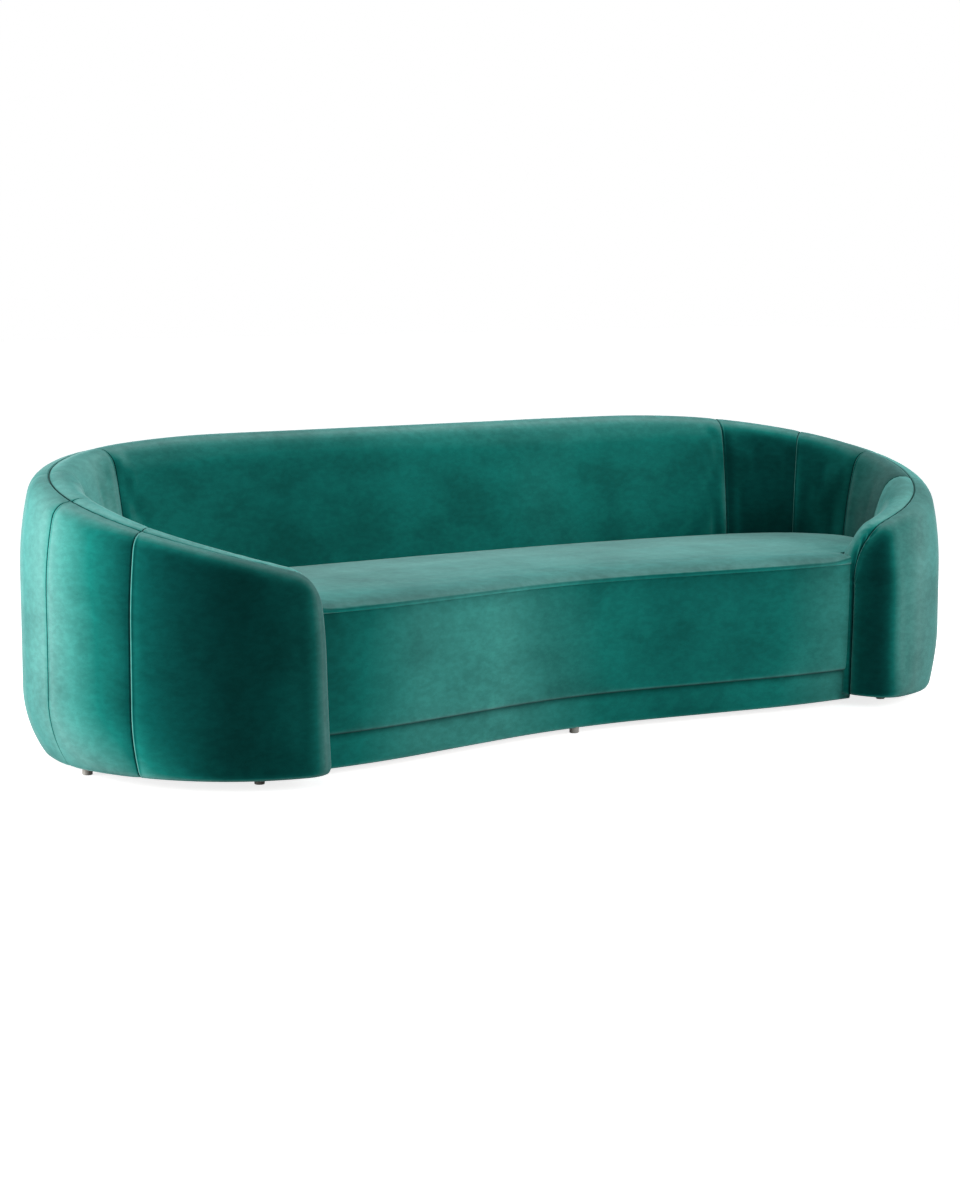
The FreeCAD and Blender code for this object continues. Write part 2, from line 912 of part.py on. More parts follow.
def rail_glides():
    """Plan positions of the glides under the back, the arms and two of the joists."""
    middle = (base_rail_in + base_rail_out) / 2
    stations = (-nose_start + 60, -1500, -950, 0, 950, 1500, nose_start - 60)
    places = [rim_point(station, middle) for station in stations]
    for x in (joist_x()[0], joist_x()[-1]):
        y = (front_line_y(x, plinth_board_start) + inner_line_y(x, base_rail_in)) / 2
        places.append(V(x, y, 0))
    return places


def glide_places():
    """Plan position and underside of the board above, for each glide."""
    return ([(place, plinth_gap) for place in plinth_glides()]
            + [(place, ground_gap - dust_cloth) for place in rail_glides()])


def glides():
    feet = []
    for place, top in glide_places():
        foot = Part.makeCylinder(glide_radius, top - glide_clearance, V(place.x, place.y, 0))
        foot = foot.makeChamfer(glide_chamfer, [foot.Edges[2]])
        hole = Part.makeCylinder(glide_screw_radius + hole_clearance, top, V(place.x, place.y, 0))
        sink = Part.makeCylinder(glide_sink_radius, glide_sink_depth, V(place.x, place.y, 0))
        feet.append(foot.cut(hole).cut(sink))
    return Part.Compound(feet)


def glide_screws():
    screws = []
    for place, _ in glide_places():
        start = V(place.x, place.y, glide_sink_depth - glide_head_height)
        head = Part.makeCylinder(glide_sink_radius - 2 * hole_clearance, glide_head_height, start)
        shank = Part.makeCylinder(glide_screw_radius, glide_screw_length, start)
        screws.append(head.fuse(shank).removeSplitter())
    return Part.Compound(screws)


def drilled(shape):
    """Timber or cloth with the holes for the glides' screws."""
    for place, _ in glide_places():
        low = plinth_gap - dust_border
        hole = Part.makeCylinder(glide_screw_radius + hole_clearance, glide_screw_length,
                                 V(place.x, place.y, low))
        if hole.BoundBox.intersect(shape.BoundBox):
            shape = shape.cut(hole)
    return shape


def dust_cover():
    """Thin cloth stapled under the base rails, from the wall to the plinth board."""
    low = ground_gap - dust_cloth
    offset = base_rail_out - dust_border
    inset = plinth_board_start + plywood + layer_gap
    half = distance_at_x(apron_half_width - dust_border, inset)
    edges = rim_edges(-nose_start, nose_start, offset, low) + front_edges(half, inset, low)
    for sign in (-1, 1):
        edges.append(Part.makeLine(rim_point(sign * nose_start, offset, low),
                                   front_point(sign * half, inset, low)))
    return drilled(prism(edges, dust_cloth))


# Covers between the sewn seams
def seam_runs():
    """Name and stations of each sewn panel of the wall."""
    tip = nose_start + nose_length
    runs = [("back", -corner_seam, corner_seam)]
    for name, sign in (("left", -1), ("right", 1)):
        marks = [corner_seam, end_seam, arm_seam, front_seam, tip]
        for place, low, high in zip(("corner", "end", "arm", "front"), marks, marks[1:]):
            first, last = sorted([sign * low, sign * high])
            runs.append((place + "_" + name, first, last))
    return runs


def inner_low(first, last):
    """The inner panels tuck in above the seat rail, but reach the base at the arm fronts."""
    return ground_gap if max(abs(first), abs(last)) > front_seam else seat_rail_top + 20


def build():
    os.makedirs("parts", exist_ok=True)
    nodes = {}
    for name, first, last in seam_runs():
        nodes["cover_outside_" + name] = layer("outside", first, last, 0, velvet)
        nodes["cover_inside_" + name] = layer("inside", first, last, 0, velvet,
                                              inner_low(first, last))
    tip = nose_start + nose_length
    low = seat_rail_top + 20
    nodes["foam_back"] = layer("inside", -corner_seam, corner_seam, padding_start, foam_end, low)
    nodes["padding_back"] = layer("outside", -corner_seam, corner_seam, padding_start,
                                  outside_padding_end)
    nodes["board_back"] = layer("outside", -corner_seam, corner_seam, board_start, board_end)
    nodes["top_rail_back"] = top_rail(-corner_seam, corner_seam)
    nodes["base_rail_back"] = drilled(base_rail(-corner_seam, corner_seam))
    for name, sign in (("left", -1), ("right", 1)):
        run = sorted([sign * corner_seam, sign * front_seam])
        arm = sorted([sign * front_seam, sign * nose_start])
        nose = sorted([sign * front_seam, sign * tip])
        side = sorted([sign * corner_seam, sign * tip])
        rail = sorted([sign * corner_seam, sign * nose_start])
        nodes["foam_corner_" + name] = layer("inside", *run, padding_start, foam_end, low)
        nodes["foam_arm_" + name] = layer("inside", *nose, padding_start, foam_end)
        nodes["padding_" + name] = layer("outside", *side, padding_start, outside_padding_end)
        nodes["board_" + name] = layer("outside", *rail, board_start, board_end)
        nodes["liner_" + name] = Part.Compound([
            layer("inside", *run, strap_start, strap_end, seat_rail_top + 5),
            layer("inside", *arm, strap_start, strap_end)])
    rails = [sorted([sign * corner_seam, sign * nose_start]) for sign in (-1, 1)]
    arm_ribs = [sorted([sign * (corner_seam + first_arm_rib), sign * nose_start])
                for sign in (-1, 1)]
    back_ribs = corner_seam - plywood
    nodes["ribs"] = Part.Compound([ribs(*run) for run in [(-back_ribs, back_ribs)] + arm_ribs])
    nodes["top_rails_arms"] = Part.Compound([top_rail(*run) for run in rails])
    nodes["base_rails_arms"] = Part.Compound([drilled(base_rail(*run)) for run in rails])
    nodes["nose_posts"] = Part.Compound([nose_post(sign) for sign in (-1, 1)])
    nodes["seat_side_rails"] = Part.Compound(
        [piece(sign) for sign in (-1, 1) for piece in (seat_end_rail, seat_corner_rail)])
    nodes["cover_seat"] = seat_cover()
    nodes["cover_apron"] = apron_cover()
    nodes["cover_plinth"] = plinth_cover()
    nodes["foam_seat"] = seat_foam()
    nodes["foam_apron"] = apron_foam()
    nodes["felt_seat"] = seat_felt()
    nodes["board_apron"] = apron_board()
    nodes["board_plinth"] = drilled(plinth_board())
    nodes["seat_front_rail"] = seat_front_rail()
    nodes["seat_back_rail"] = seat_back_rail()
    nodes["seat_cross_rails"] = seat_cross_rails()
    nodes["base_cross_rails"] = drilled(base_cross_rails())
    nodes["posts"] = front_posts()
    nodes["corner_blocks"] = corner_blocks()
    nodes["frame_screws"] = frame_screws()
    nodes["seat_springs"] = seat_springs()
    nodes["spring_clips"] = spring_clips()
    nodes["back_straps"] = back_straps()
    nodes["dust_cover"] = dust_cover()
    nodes["glides"] = glides()
    nodes["glide_screws"] = glide_screws()
    for name, shape in nodes.items():
        if not shape.isValid() or shape.Volume <= 0:
            print("not valid:", name)
        shape.exportStep("parts/" + name + ".step")
    print(len(nodes), "nodes")


build()
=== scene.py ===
"""Dresses the curved sofa: velvet upholstery with its sewn seams, frame, feet, light and camera."""
import json
import math

import bmesh
import bpy
import numpy as np
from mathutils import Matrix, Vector


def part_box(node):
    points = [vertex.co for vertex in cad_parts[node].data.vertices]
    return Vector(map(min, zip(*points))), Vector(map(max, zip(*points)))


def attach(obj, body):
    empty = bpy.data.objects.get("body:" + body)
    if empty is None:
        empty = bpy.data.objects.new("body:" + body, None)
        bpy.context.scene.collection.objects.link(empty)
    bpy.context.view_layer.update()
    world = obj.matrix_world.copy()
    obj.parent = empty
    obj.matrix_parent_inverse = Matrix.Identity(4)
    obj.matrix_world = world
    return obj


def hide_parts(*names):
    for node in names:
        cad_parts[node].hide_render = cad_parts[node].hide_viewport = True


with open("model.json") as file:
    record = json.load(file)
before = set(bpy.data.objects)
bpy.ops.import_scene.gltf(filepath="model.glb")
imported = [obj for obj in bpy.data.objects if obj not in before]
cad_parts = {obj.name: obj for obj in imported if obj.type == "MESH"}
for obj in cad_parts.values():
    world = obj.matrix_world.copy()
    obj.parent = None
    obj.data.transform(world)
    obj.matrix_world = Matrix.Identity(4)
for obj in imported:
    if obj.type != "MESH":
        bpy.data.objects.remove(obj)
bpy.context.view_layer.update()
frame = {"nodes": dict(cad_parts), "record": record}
nodes = frame["nodes"]

# Sizes of the sofa's form, in metres
back_straight = 0.461
back_sweep = 0.482
back_sweep_radius = 3.300
corner_length = 0.544
corner_radius = 0.408
arm_length = 0.539
arm_radius = 0.371
arm_front_length = 0.045
arm_front_radius = 1.266
nose_length = 0.081
nose_drop = 0.140
nose_seam_shift = 0.030
nose_seam_power = 4
nose_fullness = 2.7
back_height = 0.738
rim_level_half = 0.660
rim_bend_length = 0.980
rim_slope = 0.27
ground_gap = 0.026
plinth_gap = 0.016
wall_out = 0.069
wall_in = 0.116
toe_out = 0.016
toe_height = 0.200
face_taper = 0.005
shoulder_out = 0.052
shoulder_drop = 0.045
shoulder_start_drop = 0.210
shoulder_round = 0.015
crown_inset = 0.032
crown_rise = 0.006
inner_shoulder_in = 0.078
inner_shoulder_drop = 0.032
inner_face_bulge = 0.003
seat_seam_height = 0.380
seat_crown_height = 0.414
seat_back_height = 0.411
seat_depth_to_seam = 0.693
front_bow_radius = 1.600
front_bow_turn = math.radians(8.9)
front_straight = 0.300
apron_bottom = 0.096
plinth_recess = 0.0126

# Thickness of the velvet and of the padding under it
velvet = 0.0015
padding_depth = 0.020
foam_depth = 0.047
apron_depth = 0.012

# Where the covers leave the plain form. A reach runs from before the nose's start to past it
toe_filled = 0.060
toe_fill_reach = (0.50, 0.03)
nose_lean = 0.024
lean_height = 0.62
arm_thinned = 0.12
thinning_reach = (0.22, 0.02)
hem_rise = 0.004
hem_fold = 0.004
hem_lowered = 0.002
seam_end_rise = 0.014
seam_rise_length = 0.12
apron_bulge = 0.0035

# Grid of the seat: usual depth, columns across, how far they draw together at the ends
seat_grid_depth = 0.66
seat_columns = 181
seat_end_share = 0.4
front_line_points = 900
front_line_spare = 0.25

# How far the front pieces run into the arms' noses and behind each other
apron_overlap = 0.036
plinth_overlap = 0.010
plinth_tucked = 0.004
seat_overlap = 0.008
seat_clearance = 0.0015

# Cross-section: points of an arc, rounding of the corners between arcs, smallest share left
arc_count = 26
corner_ease = 0.012
profile_steps = 240
most_rounds = 60
thinnest_nose = 0.012

# Grids: points beside a seam, step between seams, points round a nose, usual face lengths
seam_spacing = [0.0, 0.0008, 0.0018, 0.003, 0.0045, 0.006, 0.008, 0.012]
grid_step = 0.012
nose_points = 34
face_length = {"outside": 0.80, "inside": 0.45}
same_station = 1e-6

# Sewn seam: valley, slopes beside it, pressed ridge, reach of its painted shade line, and the start
# of its gathers
valley_depth = 0.0028
valley_reach = 0.0010
slope_depth = 0.0014
slope_reach = 0.011
ridge_height = 0.0012
ridge_place = 0.0042
ridge_reach = 0.0020
painted_shade_reach = 0.0013
gather_start = 0.003

# Cloth simulation of the wall's covers
coarse_step = 0.028
coarse_rows = {"outside": 29, "inside": 17}
held_nose_from = 0.6
cover_pressure = 3.0
cover_stiffness = 30
cover_bending = 1.5
settling_frames = 20
swell_limit = 0.007

# Stations of the sewn seams that cross the wall, and where the arm's rim starts to gather
corner_seam = 1.026
end_seam = 1.289
arm_seam = 1.520
front_seam = 1.736
cross_seams = [side * seam for seam in (corner_seam, end_seam, arm_seam, front_seam)
               for side in (-1, 1)]
arm_gathers = (1.80, 2.05)

arm_end = back_straight + back_sweep + corner_length + arm_length
nose_start = arm_end + arm_front_length
tip = nose_start + nose_length
plan_runs = [
    (back_straight, None),
    (back_sweep, back_sweep_radius),
    (corner_length, corner_radius),
    (arm_length, arm_radius),
    (arm_front_length + nose_length, arm_front_radius),
]

# Tone from panel to panel, partly the lie of the pile and partly painted light and shade: stations
# and the share of the usual tone there
nap_and_painted_light_tones = {
    "outside": ([-tip, -1.93, -1.87, -front_seam - 0.001, -front_seam, -1.20, 1.70, 1.80, tip],
                [0.55, 0.72, 1.05, 1.45, 1.12, 1.00, 1.00, 0.72, 0.68]),
    "inside": ([-1.60, -corner_seam, -0.50, corner_seam, 1.20, 1.50, front_seam - 0.001,
                front_seam],
               [1.50, 1.05, 0.84, 0.86, 0.85, 0.45, 0.32, 1.00]),
    "front": ([-0.90, -0.75, -0.50, -0.30, -0.10, 0.20, 0.55, 0.80, 0.95],
              [0.72, 0.80, 1.08, 1.08, 0.85, 1.00, 0.84, 0.95, 1.10]),
}


def plan_table():
    """Plan of one half of the rim seam, sampled closely: station, x, y and heading."""
    stations, xs, ys, headings = [0.0], [0.0], [0.0], [0.0]
    x = y = heading = start = 0.0
    for length, radius in plan_runs:
        for step in np.linspace(0, length, 401)[1:]:
            turned = heading + (step / radius if radius else 0.0)
            if radius:
                px = x + radius * (math.sin(turned) - math.sin(heading))
                py = y - radius * (math.cos(heading) - math.cos(turned))
            else:
                px, py = x + step * math.cos(heading), y - step * math.sin(heading)
            stations.append(start + step)
            xs.append(px)
            ys.append(py)
            headings.append(turned)
        x, y, heading, start = xs[-1], ys[-1], headings[-1], stations[-1]
    return [np.array(column) for column in (stations, xs, ys, headings)]


plan_s, plan_x, plan_y, plan_heading = plan_table()
centre_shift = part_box("cover_outside_back")[1].y - wall_out


def rim_frame(s):
    """Plan place and heading of the rim seam at a station, mirrored on the left side."""
    side = np.where(s < 0, -1.0, 1.0)
    distance = np.abs(s)
    x = np.interp(distance, plan_s, plan_x) * side
    y = np.interp(distance, plan_s, plan_y) + centre_shift
    return x, y, np.interp(distance, plan_s, plan_heading) * side


def smoothed(t):
    """Eases a share from 0 to 1 in and out."""
    return t * t * (3 - 2 * t)


def ease_in(value, low, high):
    """Smooth step from 0 to 1 between two limits."""
    return smoothed(np.clip((value - low) / (high - low), 0, 1))


def along_nose(s, length=nose_length):
    """Share of the nose that lies before a station, 0 at its start and 1 at its tip."""
    return np.clip((np.abs(s) - nose_start) / length, 0.0, 1.0)


def towards_nose(s, reach):
    """Smooth step from 0 to 1, from before the start of the nose to past it."""
    before, past = reach
    return ease_in(np.abs(s), nose_start - before, nose_start + past)


def seam_shift(s):
    """How far the rim seam leaves its guide line, inwards round the nose."""
    return nose_seam_shift * along_nose(s) ** nose_seam_power


def nose_reach(s, z):
    """How much further the nose reaches round towards its foot."""
    share = along_nose(s) ** 1.5
    return nose_lean * share * np.clip(1 - z / lean_height, 0, 1)


def hem_height(s):
    """Lower edge of the outer cover, lifted a little round the nose."""
    return ground_gap + hem_rise * along_nose(s) ** 3


def arm_thinning(s):
    """Share of its thickness that the inner padding keeps towards the nose."""
    return 1 - arm_thinned * towards_nose(s, thinning_reach)


def rim_point(s, d, z):
    """Point of the wall at a station, an offset outwards from the rim seam, and a height."""
    x, y, heading = rim_frame(s)
    d = d - seam_shift(s)
    reach = nose_reach(s, z) * np.sign(s)
    return np.stack([x + d * np.sin(heading) + reach * np.cos(heading),
                     y + d * np.cos(heading) - reach * np.sin(heading), z + 0 * x], -1)


def rim_height(s):
    """Height of the rim, level along the back and bent over into the slope of the arms."""
    past = np.maximum(0.0, np.abs(s) - rim_level_half)
    bent = rim_slope * past ** 2 / (2 * rim_bend_length)
    sloped = rim_slope * (past - rim_bend_length / 2)
    return back_height - np.where(past < rim_bend_length, bent, sloped)


def nose_factor(s, inset=0.0):
    """Share of its full size that the cross-section keeps round the nose."""
    share = along_nose(s, nose_length - inset)
    return (1.0 - share ** nose_fullness) ** (1.0 / nose_fullness)


def top_height(s, inset=0.0):
    """Height of the rim seam, falling round the nose."""
    return rim_height(s) - nose_drop + (nose_drop - inset) * nose_factor(s, inset)


def nose_share(turn):
    """Share of the nose's length at which its outline has turned by an angle."""
    return np.sin(turn) ** (2.0 / nose_fullness)


# Cross-section of the wall as a polyline of offset and height
def arc_points(a, b, c):
    """Points on the circle through three points, from the first to the last."""
    (ax, ay), (bx, by), (cx, cy) = a, b, c
    d = 2 * (ax * (by - cy) + bx * (cy - ay) + cx * (ay - by))
    if abs(d) < 1e-9:
        t = np.linspace(0, 1, arc_count)
        return np.stack([ax + (cx - ax) * t, ay + (cy - ay) * t], -1)
    a2, b2, c2 = ax * ax + ay * ay, bx * bx + by * by, cx * cx + cy * cy
    ux = (a2 * (by - cy) + b2 * (cy - ay) + c2 * (ay - by)) / d
    uy = (a2 * (cx - bx) + b2 * (ax - cx) + c2 * (bx - ax)) / d
    radius = math.hypot(ax - ux, ay - uy)
    start = math.atan2(ay - uy, ax - ux)
    middle = (math.atan2(by - uy, bx - ux) - start) % math.tau
    end = (math.atan2(cy - uy, cx - ux) - start) % math.tau
    if middle > end:
        end -= math.tau
    angle = start + np.linspace(0, end, arc_count)
    return np.stack([ux + radius * np.cos(angle), uy + radius * np.sin(angle)], -1)


def outside_profile(s, inset):
    """Toe, bulge and shoulder of the outer face, from the bottom up to the rim seam."""
    k = max(float(nose_factor(s, inset)), thinnest_nose)
    top = float(top_height(s, inset))
    out = wall_out - inset
    toe = toe_out - inset + toe_filled * float(towards_nose(s, toe_fill_reach))
    shoulder = shoulder_out - 0.85 * inset
    hem = float(hem_height(s))
    full = float(rim_height(s)) - nose_drop
    start = min(top - (shoulder_start_drop - inset) * k, full)
    drop = (shoulder_drop - 0.5 * inset) * k
    toe_arc = arc_points((toe * k, hem),
                         ((toe + (out - toe) * 0.72) * k, hem + (toe_height - hem) * 0.42),
                         (out * k, toe_height))
    face_arc = arc_points((out * k, start),
                          ((out - face_taper) * k, start + (top - start) * 0.42),
                          (shoulder * k, top - drop))
    shoulder_arc = arc_points((shoulder * k, top - drop),
                              ((shoulder - shoulder_round) * k, top - drop * 0.28),
                              (0.0, top))
    return np.concatenate([toe_arc, face_arc, shoulder_arc])


def inside_profile(s, inset, low):
    """Crown, inner shoulder and leaning inner face, from the rim seam down."""
    low += float(hem_height(s)) - ground_gap
    k = max(float(nose_factor(s, inset)), thinnest_nose)
    top = float(top_height(s, inset))
    thin = float(arm_thinning(s))
    shoulder = inner_shoulder_in * thin - 0.75 * inset
    face = wall_in * thin - inset
    shoulder_z = top - (inner_shoulder_drop - 0.35 * inset) * k
    foot = min(seat_back_height, top - (float(rim_height(nose_start)) - seat_back_height) * k)
    crown_arc = arc_points((0.0, top),
                           (-(crown_inset - 0.3 * inset) * k, top + crown_rise * k),
                           (-shoulder * k, shoulder_z))
    middle = shoulder * 0.4 + face * 0.6 + inner_face_bulge
    face_arc = arc_points((-shoulder * k, shoulder_z),
                          (-middle * k, shoulder_z * 0.45 + foot * 0.55),
                          (-face * k, foot))
    return np.concatenate([crown_arc, face_arc, np.array([(-face * k, low)])])


def resample(points, shares):
    """Points at given shares of a polyline's length, its corners rounded a little."""
    steps = np.r_[0, np.cumsum(np.hypot(*np.diff(points, axis=0).T))]
    total = steps[-1]
    even = np.linspace(0, total, profile_steps + 1)
    smooth = np.stack([np.interp(even, steps, points[:, i]) for i in (0, 1)], -1)
    rounds = int((corner_ease / (total / profile_steps)) ** 2)
    for _ in range(min(rounds, most_rounds)):
        smooth[1:-1] = (smooth[:-2] + 2 * smooth[1:-1] + smooth[2:]) / 4
    return np.stack([np.interp(shares * total, even, smooth[:, i]) for i in (0, 1)], -1)


def spaced(length, step, fine_low=False, fine_high=False):
    """Distances from 0 to a length, close together at the ends where a seam is."""
    low = seam_spacing if fine_low else [0.0]
    high = seam_spacing if fine_high else [0.0]
    inner = np.linspace(low[-1], length - high[-1], max(2, round(length / step)))
    return np.unique(np.r_[low, inner, length - np.array(high[::-1])])


def seams_between(first, last):
    """Stations of the seams that cross a run of cover between its ends."""
    return [seam for seam in sorted(cross_seams)
            if first + same_station < seam < last - same_station]


def nose_stations():
    """Stations round a nose, at even turns of its outline and close together at the tip."""
    turn = np.linspace(0, math.pi / 2, nose_points)[1:-1]
    turn = np.r_[turn, math.pi / 2 * np.array([0.985, 0.993, 1.0])]
    return nose_start + nose_length * nose_share(turn)


def wall_stations(first, last):
    """Stations from first to last, closer at every crossing seam and in the noses."""
    ends = [first, *seams_between(first, last), last]
    nose = nose_stations()
    out = [first]
    for low, high in zip(ends, ends[1:]):
        start = max(low, -nose_start)
        span = min(high, nose_start) - start
        seam_low = low > -tip + same_station
        seam_high = high < tip - same_station
        part = start + spaced(span, grid_step, seam_low, seam_high)
        if high > nose_start:
            part = np.r_[part, nose]
        if low < -nose_start:
            part = np.r_[-nose[::-1], part]
        out = np.r_[out, part]
    return np.unique(np.round(out, 6))


# Small shapes of the cloth
def hashed(i, seed):
    """Repeatable values from 0 to 1, one for each whole number."""
    return np.modf(np.abs(np.sin(i * 12.9898 + seed * 78.233) * 43758.5453))[0]


def wander(x, seed):
    """Smooth one-dimensional noise from -1 to 1."""
    low = np.floor(x)
    t = smoothed(x - low)
    return (hashed(low, seed) * (1 - t) + hashed(low + 1, seed) * t) * 2 - 1


def swell(x, y, seed):
    """Smooth two-dimensional noise from -1 to 1."""
    ix, iy = np.floor(x), np.floor(y)
    tx, ty = smoothed(x - ix), smoothed(y - iy)
    value = 0
    for dx, wx in ((0, 1 - tx), (1, tx)):
        for dy, wy in ((0, 1 - ty), (1, ty)):
            value = value + wx * wy * hashed((ix + dx) * 57 + (iy + dy) * 131, seed)
    return value * 2 - 1


def seam_dip(distance):
    """Depth of the cloth beside a sewn seam: a sharp valley with soft slopes."""
    valley = valley_depth * np.exp(-distance / valley_reach)
    return valley + slope_depth * np.exp(-(distance / slope_reach) ** 2)


def seam_ridge(distance, height=ridge_height):
    """Seam allowance pressed to one side, a low ridge beside the valley."""
    return height * np.exp(-((distance - ridge_place) / ridge_reach) ** 2)


def seam_shade(distance):
    """How deep a point lies in a seam, from 0 to 1, for the painted shade in its colour."""
    return np.exp(-(distance / painted_shade_reach) ** 2)


def puckers(along, distance, reach, height, pitch, seed):
    """Small gathers that leave a seam at right angles and die out."""
    phase = along / pitch + 0.35 * wander(along / (pitch * 3.1), seed)
    size = 0.5 + 0.5 * wander(along / (pitch * 2.3), seed + 5)
    wave = height * size * np.sin(math.tau * phase)
    return wave * np.exp(-distance / reach) * (1 - np.exp(-distance / gather_start))


# Meshes
def add_mesh(name, vertices, faces):
    """New smooth-shaded mesh object, linked to the scene."""
    mesh = bpy.data.meshes.new(name)
    mesh.from_pydata([tuple(v) for v in vertices], [], faces)
    mesh.validate()
    mesh.shade_smooth()
    obj = bpy.data.objects.new(name, mesh)
    bpy.context.scene.collection.objects.link(obj)
    return obj


def grid_normals(p):
    """Unit normals of a grid of points."""
    n = np.cross(np.gradient(p, axis=0), np.gradient(p, axis=1))
    return n / np.maximum(np.linalg.norm(n, axis=-1, keepdims=True), 1e-12)


def grid_quads(index):
    """Faces between the rows and columns of a grid of vertex numbers."""
    corners = [index[:-1, :-1], index[1:, :-1], index[1:, 1:], index[:-1, 1:]]
    return np.stack(corners, -1).reshape(-1, 4)


def closed_grid(name, outer, inner, seam, tone_factor):
    """Closed solid between two grids of the same size, joined round their borders."""
    count = outer.shape[0] * outer.shape[1]
    index = np.arange(count).reshape(outer.shape[:2])
    quads = grid_quads(index)
    back = quads[:, ::-1] + count
    ring = np.concatenate([index[:, 0], index[-1, 1:], index[-2::-1, -1], index[0, -2:0:-1]])
    after = np.roll(ring, -1)
    rim = np.stack([ring, ring + count, after + count, after], -1)
    faces = np.concatenate([quads, back, rim])
    vertices = np.concatenate([outer.reshape(-1, 3), inner.reshape(-1, 3)])
    obj = add_mesh(name, vertices, faces.tolist())
    # Shown side: painted shade of seams and crevices, and tones that hold painted light and shade
    for label, shown_side, hidden_side in (("seam", seam, 0.0), ("tone_factor", tone_factor, 1.0)):
        values = np.full(2 * count, hidden_side, np.float32)
        values[:count] = np.broadcast_to(shown_side, index.shape).ravel()
        obj.data.attributes.new(label, "FLOAT", "POINT").data.foreach_set("value", values)
    weld(obj)
    return obj


def weld(obj):
    """Joins the points that fall together at the tip of a nose."""
    bm = bmesh.new()
    bm.from_mesh(obj.data)
    bmesh.ops.remove_doubles(bm, verts=bm.verts, dist=0.00002)
    bmesh.ops.dissolve_degenerate(bm, edges=bm.edges, dist=0.00001)
    bmesh.ops.recalc_face_normals(bm, faces=bm.faces)
    bm.to_mesh(obj.data)
    bm.free()
    obj.data.shade_smooth()


def wall_grid(side, stations, shares, inset=0.0, low=ground_gap):
    """Points on one face of the wall, a row for each station and a column for each share."""
    rows = []
    for s in stations:
        profile = outside_profile(s, inset) if side == "outside" else inside_profile(s, inset, low)
        points = resample(profile, shares)
        rows.append(rim_point(np.full(len(points), s), points[:, 0], points[:, 1]))
    return np.array(rows)


def grid_lengths(p, axis):
    """Length along the lines of a grid up to each of its points."""
    steps = np.linalg.norm(np.diff(p, axis=axis), axis=-1)
    pad = np.zeros_like(np.take(steps, [0], axis=axis))
    return np.cumsum(np.concatenate([pad, steps], axis=axis), axis=axis)


def settled(sheet, stations, shares):
    """Swell of a simulated sheet at a fine grid's points, or none without a sheet."""
    if sheet is None:
        return np.zeros((len(stations), len(shares)))
    coarse_stations, coarse_shares, height = sheet
    across = np.array([np.interp(shares, coarse_shares, row) for row in height])
    return np.array([np.interp(stations, coarse_stations, column) for column in across.T]).T


def coarse_sheet(side, first, last, low):
    """Coarse grid of one run of cover, with the points that its seams hold."""
    marks = seams_between(first, last)
    stations = [first]
    for start, end in zip([first] + marks, marks + [last]):
        count = max(3, round((end - start) / coarse_step)) + 1
        stations += list(np.linspace(start, end, count)[1:])
    stations = np.array(stations)
    shares = np.linspace(0, 1, coarse_rows[side])
    p = wall_grid(side, stations, shares, low=low)
    held = np.zeros(p.shape[:2])
    held[:, [0, -1]] = 1
    held[[0, -1]] = 1
    held[np.isin(np.round(stations, 6), np.round(marks, 6))] = 1
    held[np.abs(stations) > nose_start + held_nose_from * nose_length] = 1
    return stations, shares, p, held


def add_cloth(cover, holds):
    """Cloth under a light pressure and without gravity, pinned at the held points."""
    group = cover.vertex_groups.new(name="held")
    group.add([i for i, hold in enumerate(holds) if hold], 1.0, "REPLACE")
    cloth = cover.modifiers.new("cloth", "CLOTH")
    cloth.settings.vertex_group_mass = "held"
    cloth.settings.tension_stiffness = cover_stiffness
    cloth.settings.compression_stiffness = cover_stiffness
    cloth.settings.bending_stiffness = cover_bending
    cloth.settings.use_pressure = True
    cloth.settings.uniform_pressure_force = cover_pressure
    cloth.settings.effector_weights.gravity = 0
    cloth.collision_settings.use_collision = False
    cloth.point_cache.frame_start = 1
    cloth.point_cache.frame_end = settling_frames


def simulate_covers(runs):
    """Blows every run of cover lightly outwards between its seams, and caps the swell."""
    sheets = {name: coarse_sheet(side, first, last, low)
              for name, side, first, last, low in runs}
    vertices, faces, holds, starts = [], [], [], {}
    for name, side, *_ in runs:
        stations, _, p, held = sheets[name]
        starts[name] = len(vertices)
        quads = grid_quads(np.arange(held.size).reshape(held.shape) + len(vertices))
        if not faces_outwards(p, side, stations):
            quads = quads[:, ::-1]
        faces += quads.tolist()
        vertices += p.reshape(-1, 3).tolist()
        holds += held.ravel().tolist()
    cover = add_mesh("covers", vertices, faces)
    add_cloth(cover, holds)
    scene = bpy.context.scene
    for number in range(1, settling_frames + 1):
        scene.frame_set(number)
    evaluated = cover.evaluated_get(bpy.context.evaluated_depsgraph_get())
    moved = np.array([v.co for v in evaluated.data.vertices])
    scene.frame_set(1)
    bpy.data.objects.remove(cover)
    swells = {}
    for name, side, *_ in runs:
        stations, shares, p, held = sheets[name]
        n = outward_normals(p, side, stations)
        block = moved[starts[name]:starts[name] + held.size].reshape(p.shape)
        height = np.clip(((block - p) * n).sum(-1), 0, swell_limit)
        swells[name] = (stations, shares, height)
    return swells


def faces_outwards(p, side, stations):
    """Whether a grid's own normals point out of the padding."""
    out = rim_point(stations, 1.0, 0.0) - rim_point(stations, 0.0, 0.0)
    sign = 1 if side == "outside" else -1
    return np.mean(np.sum(grid_normals(p)[:, p.shape[1] // 2] * out, -1)) * sign > 0


def outward_normals(p, side, stations):
    """Normals of a grid, turned to point out of the padding."""
    n = grid_normals(p)
    return n if faces_outwards(p, side, stations) else -n


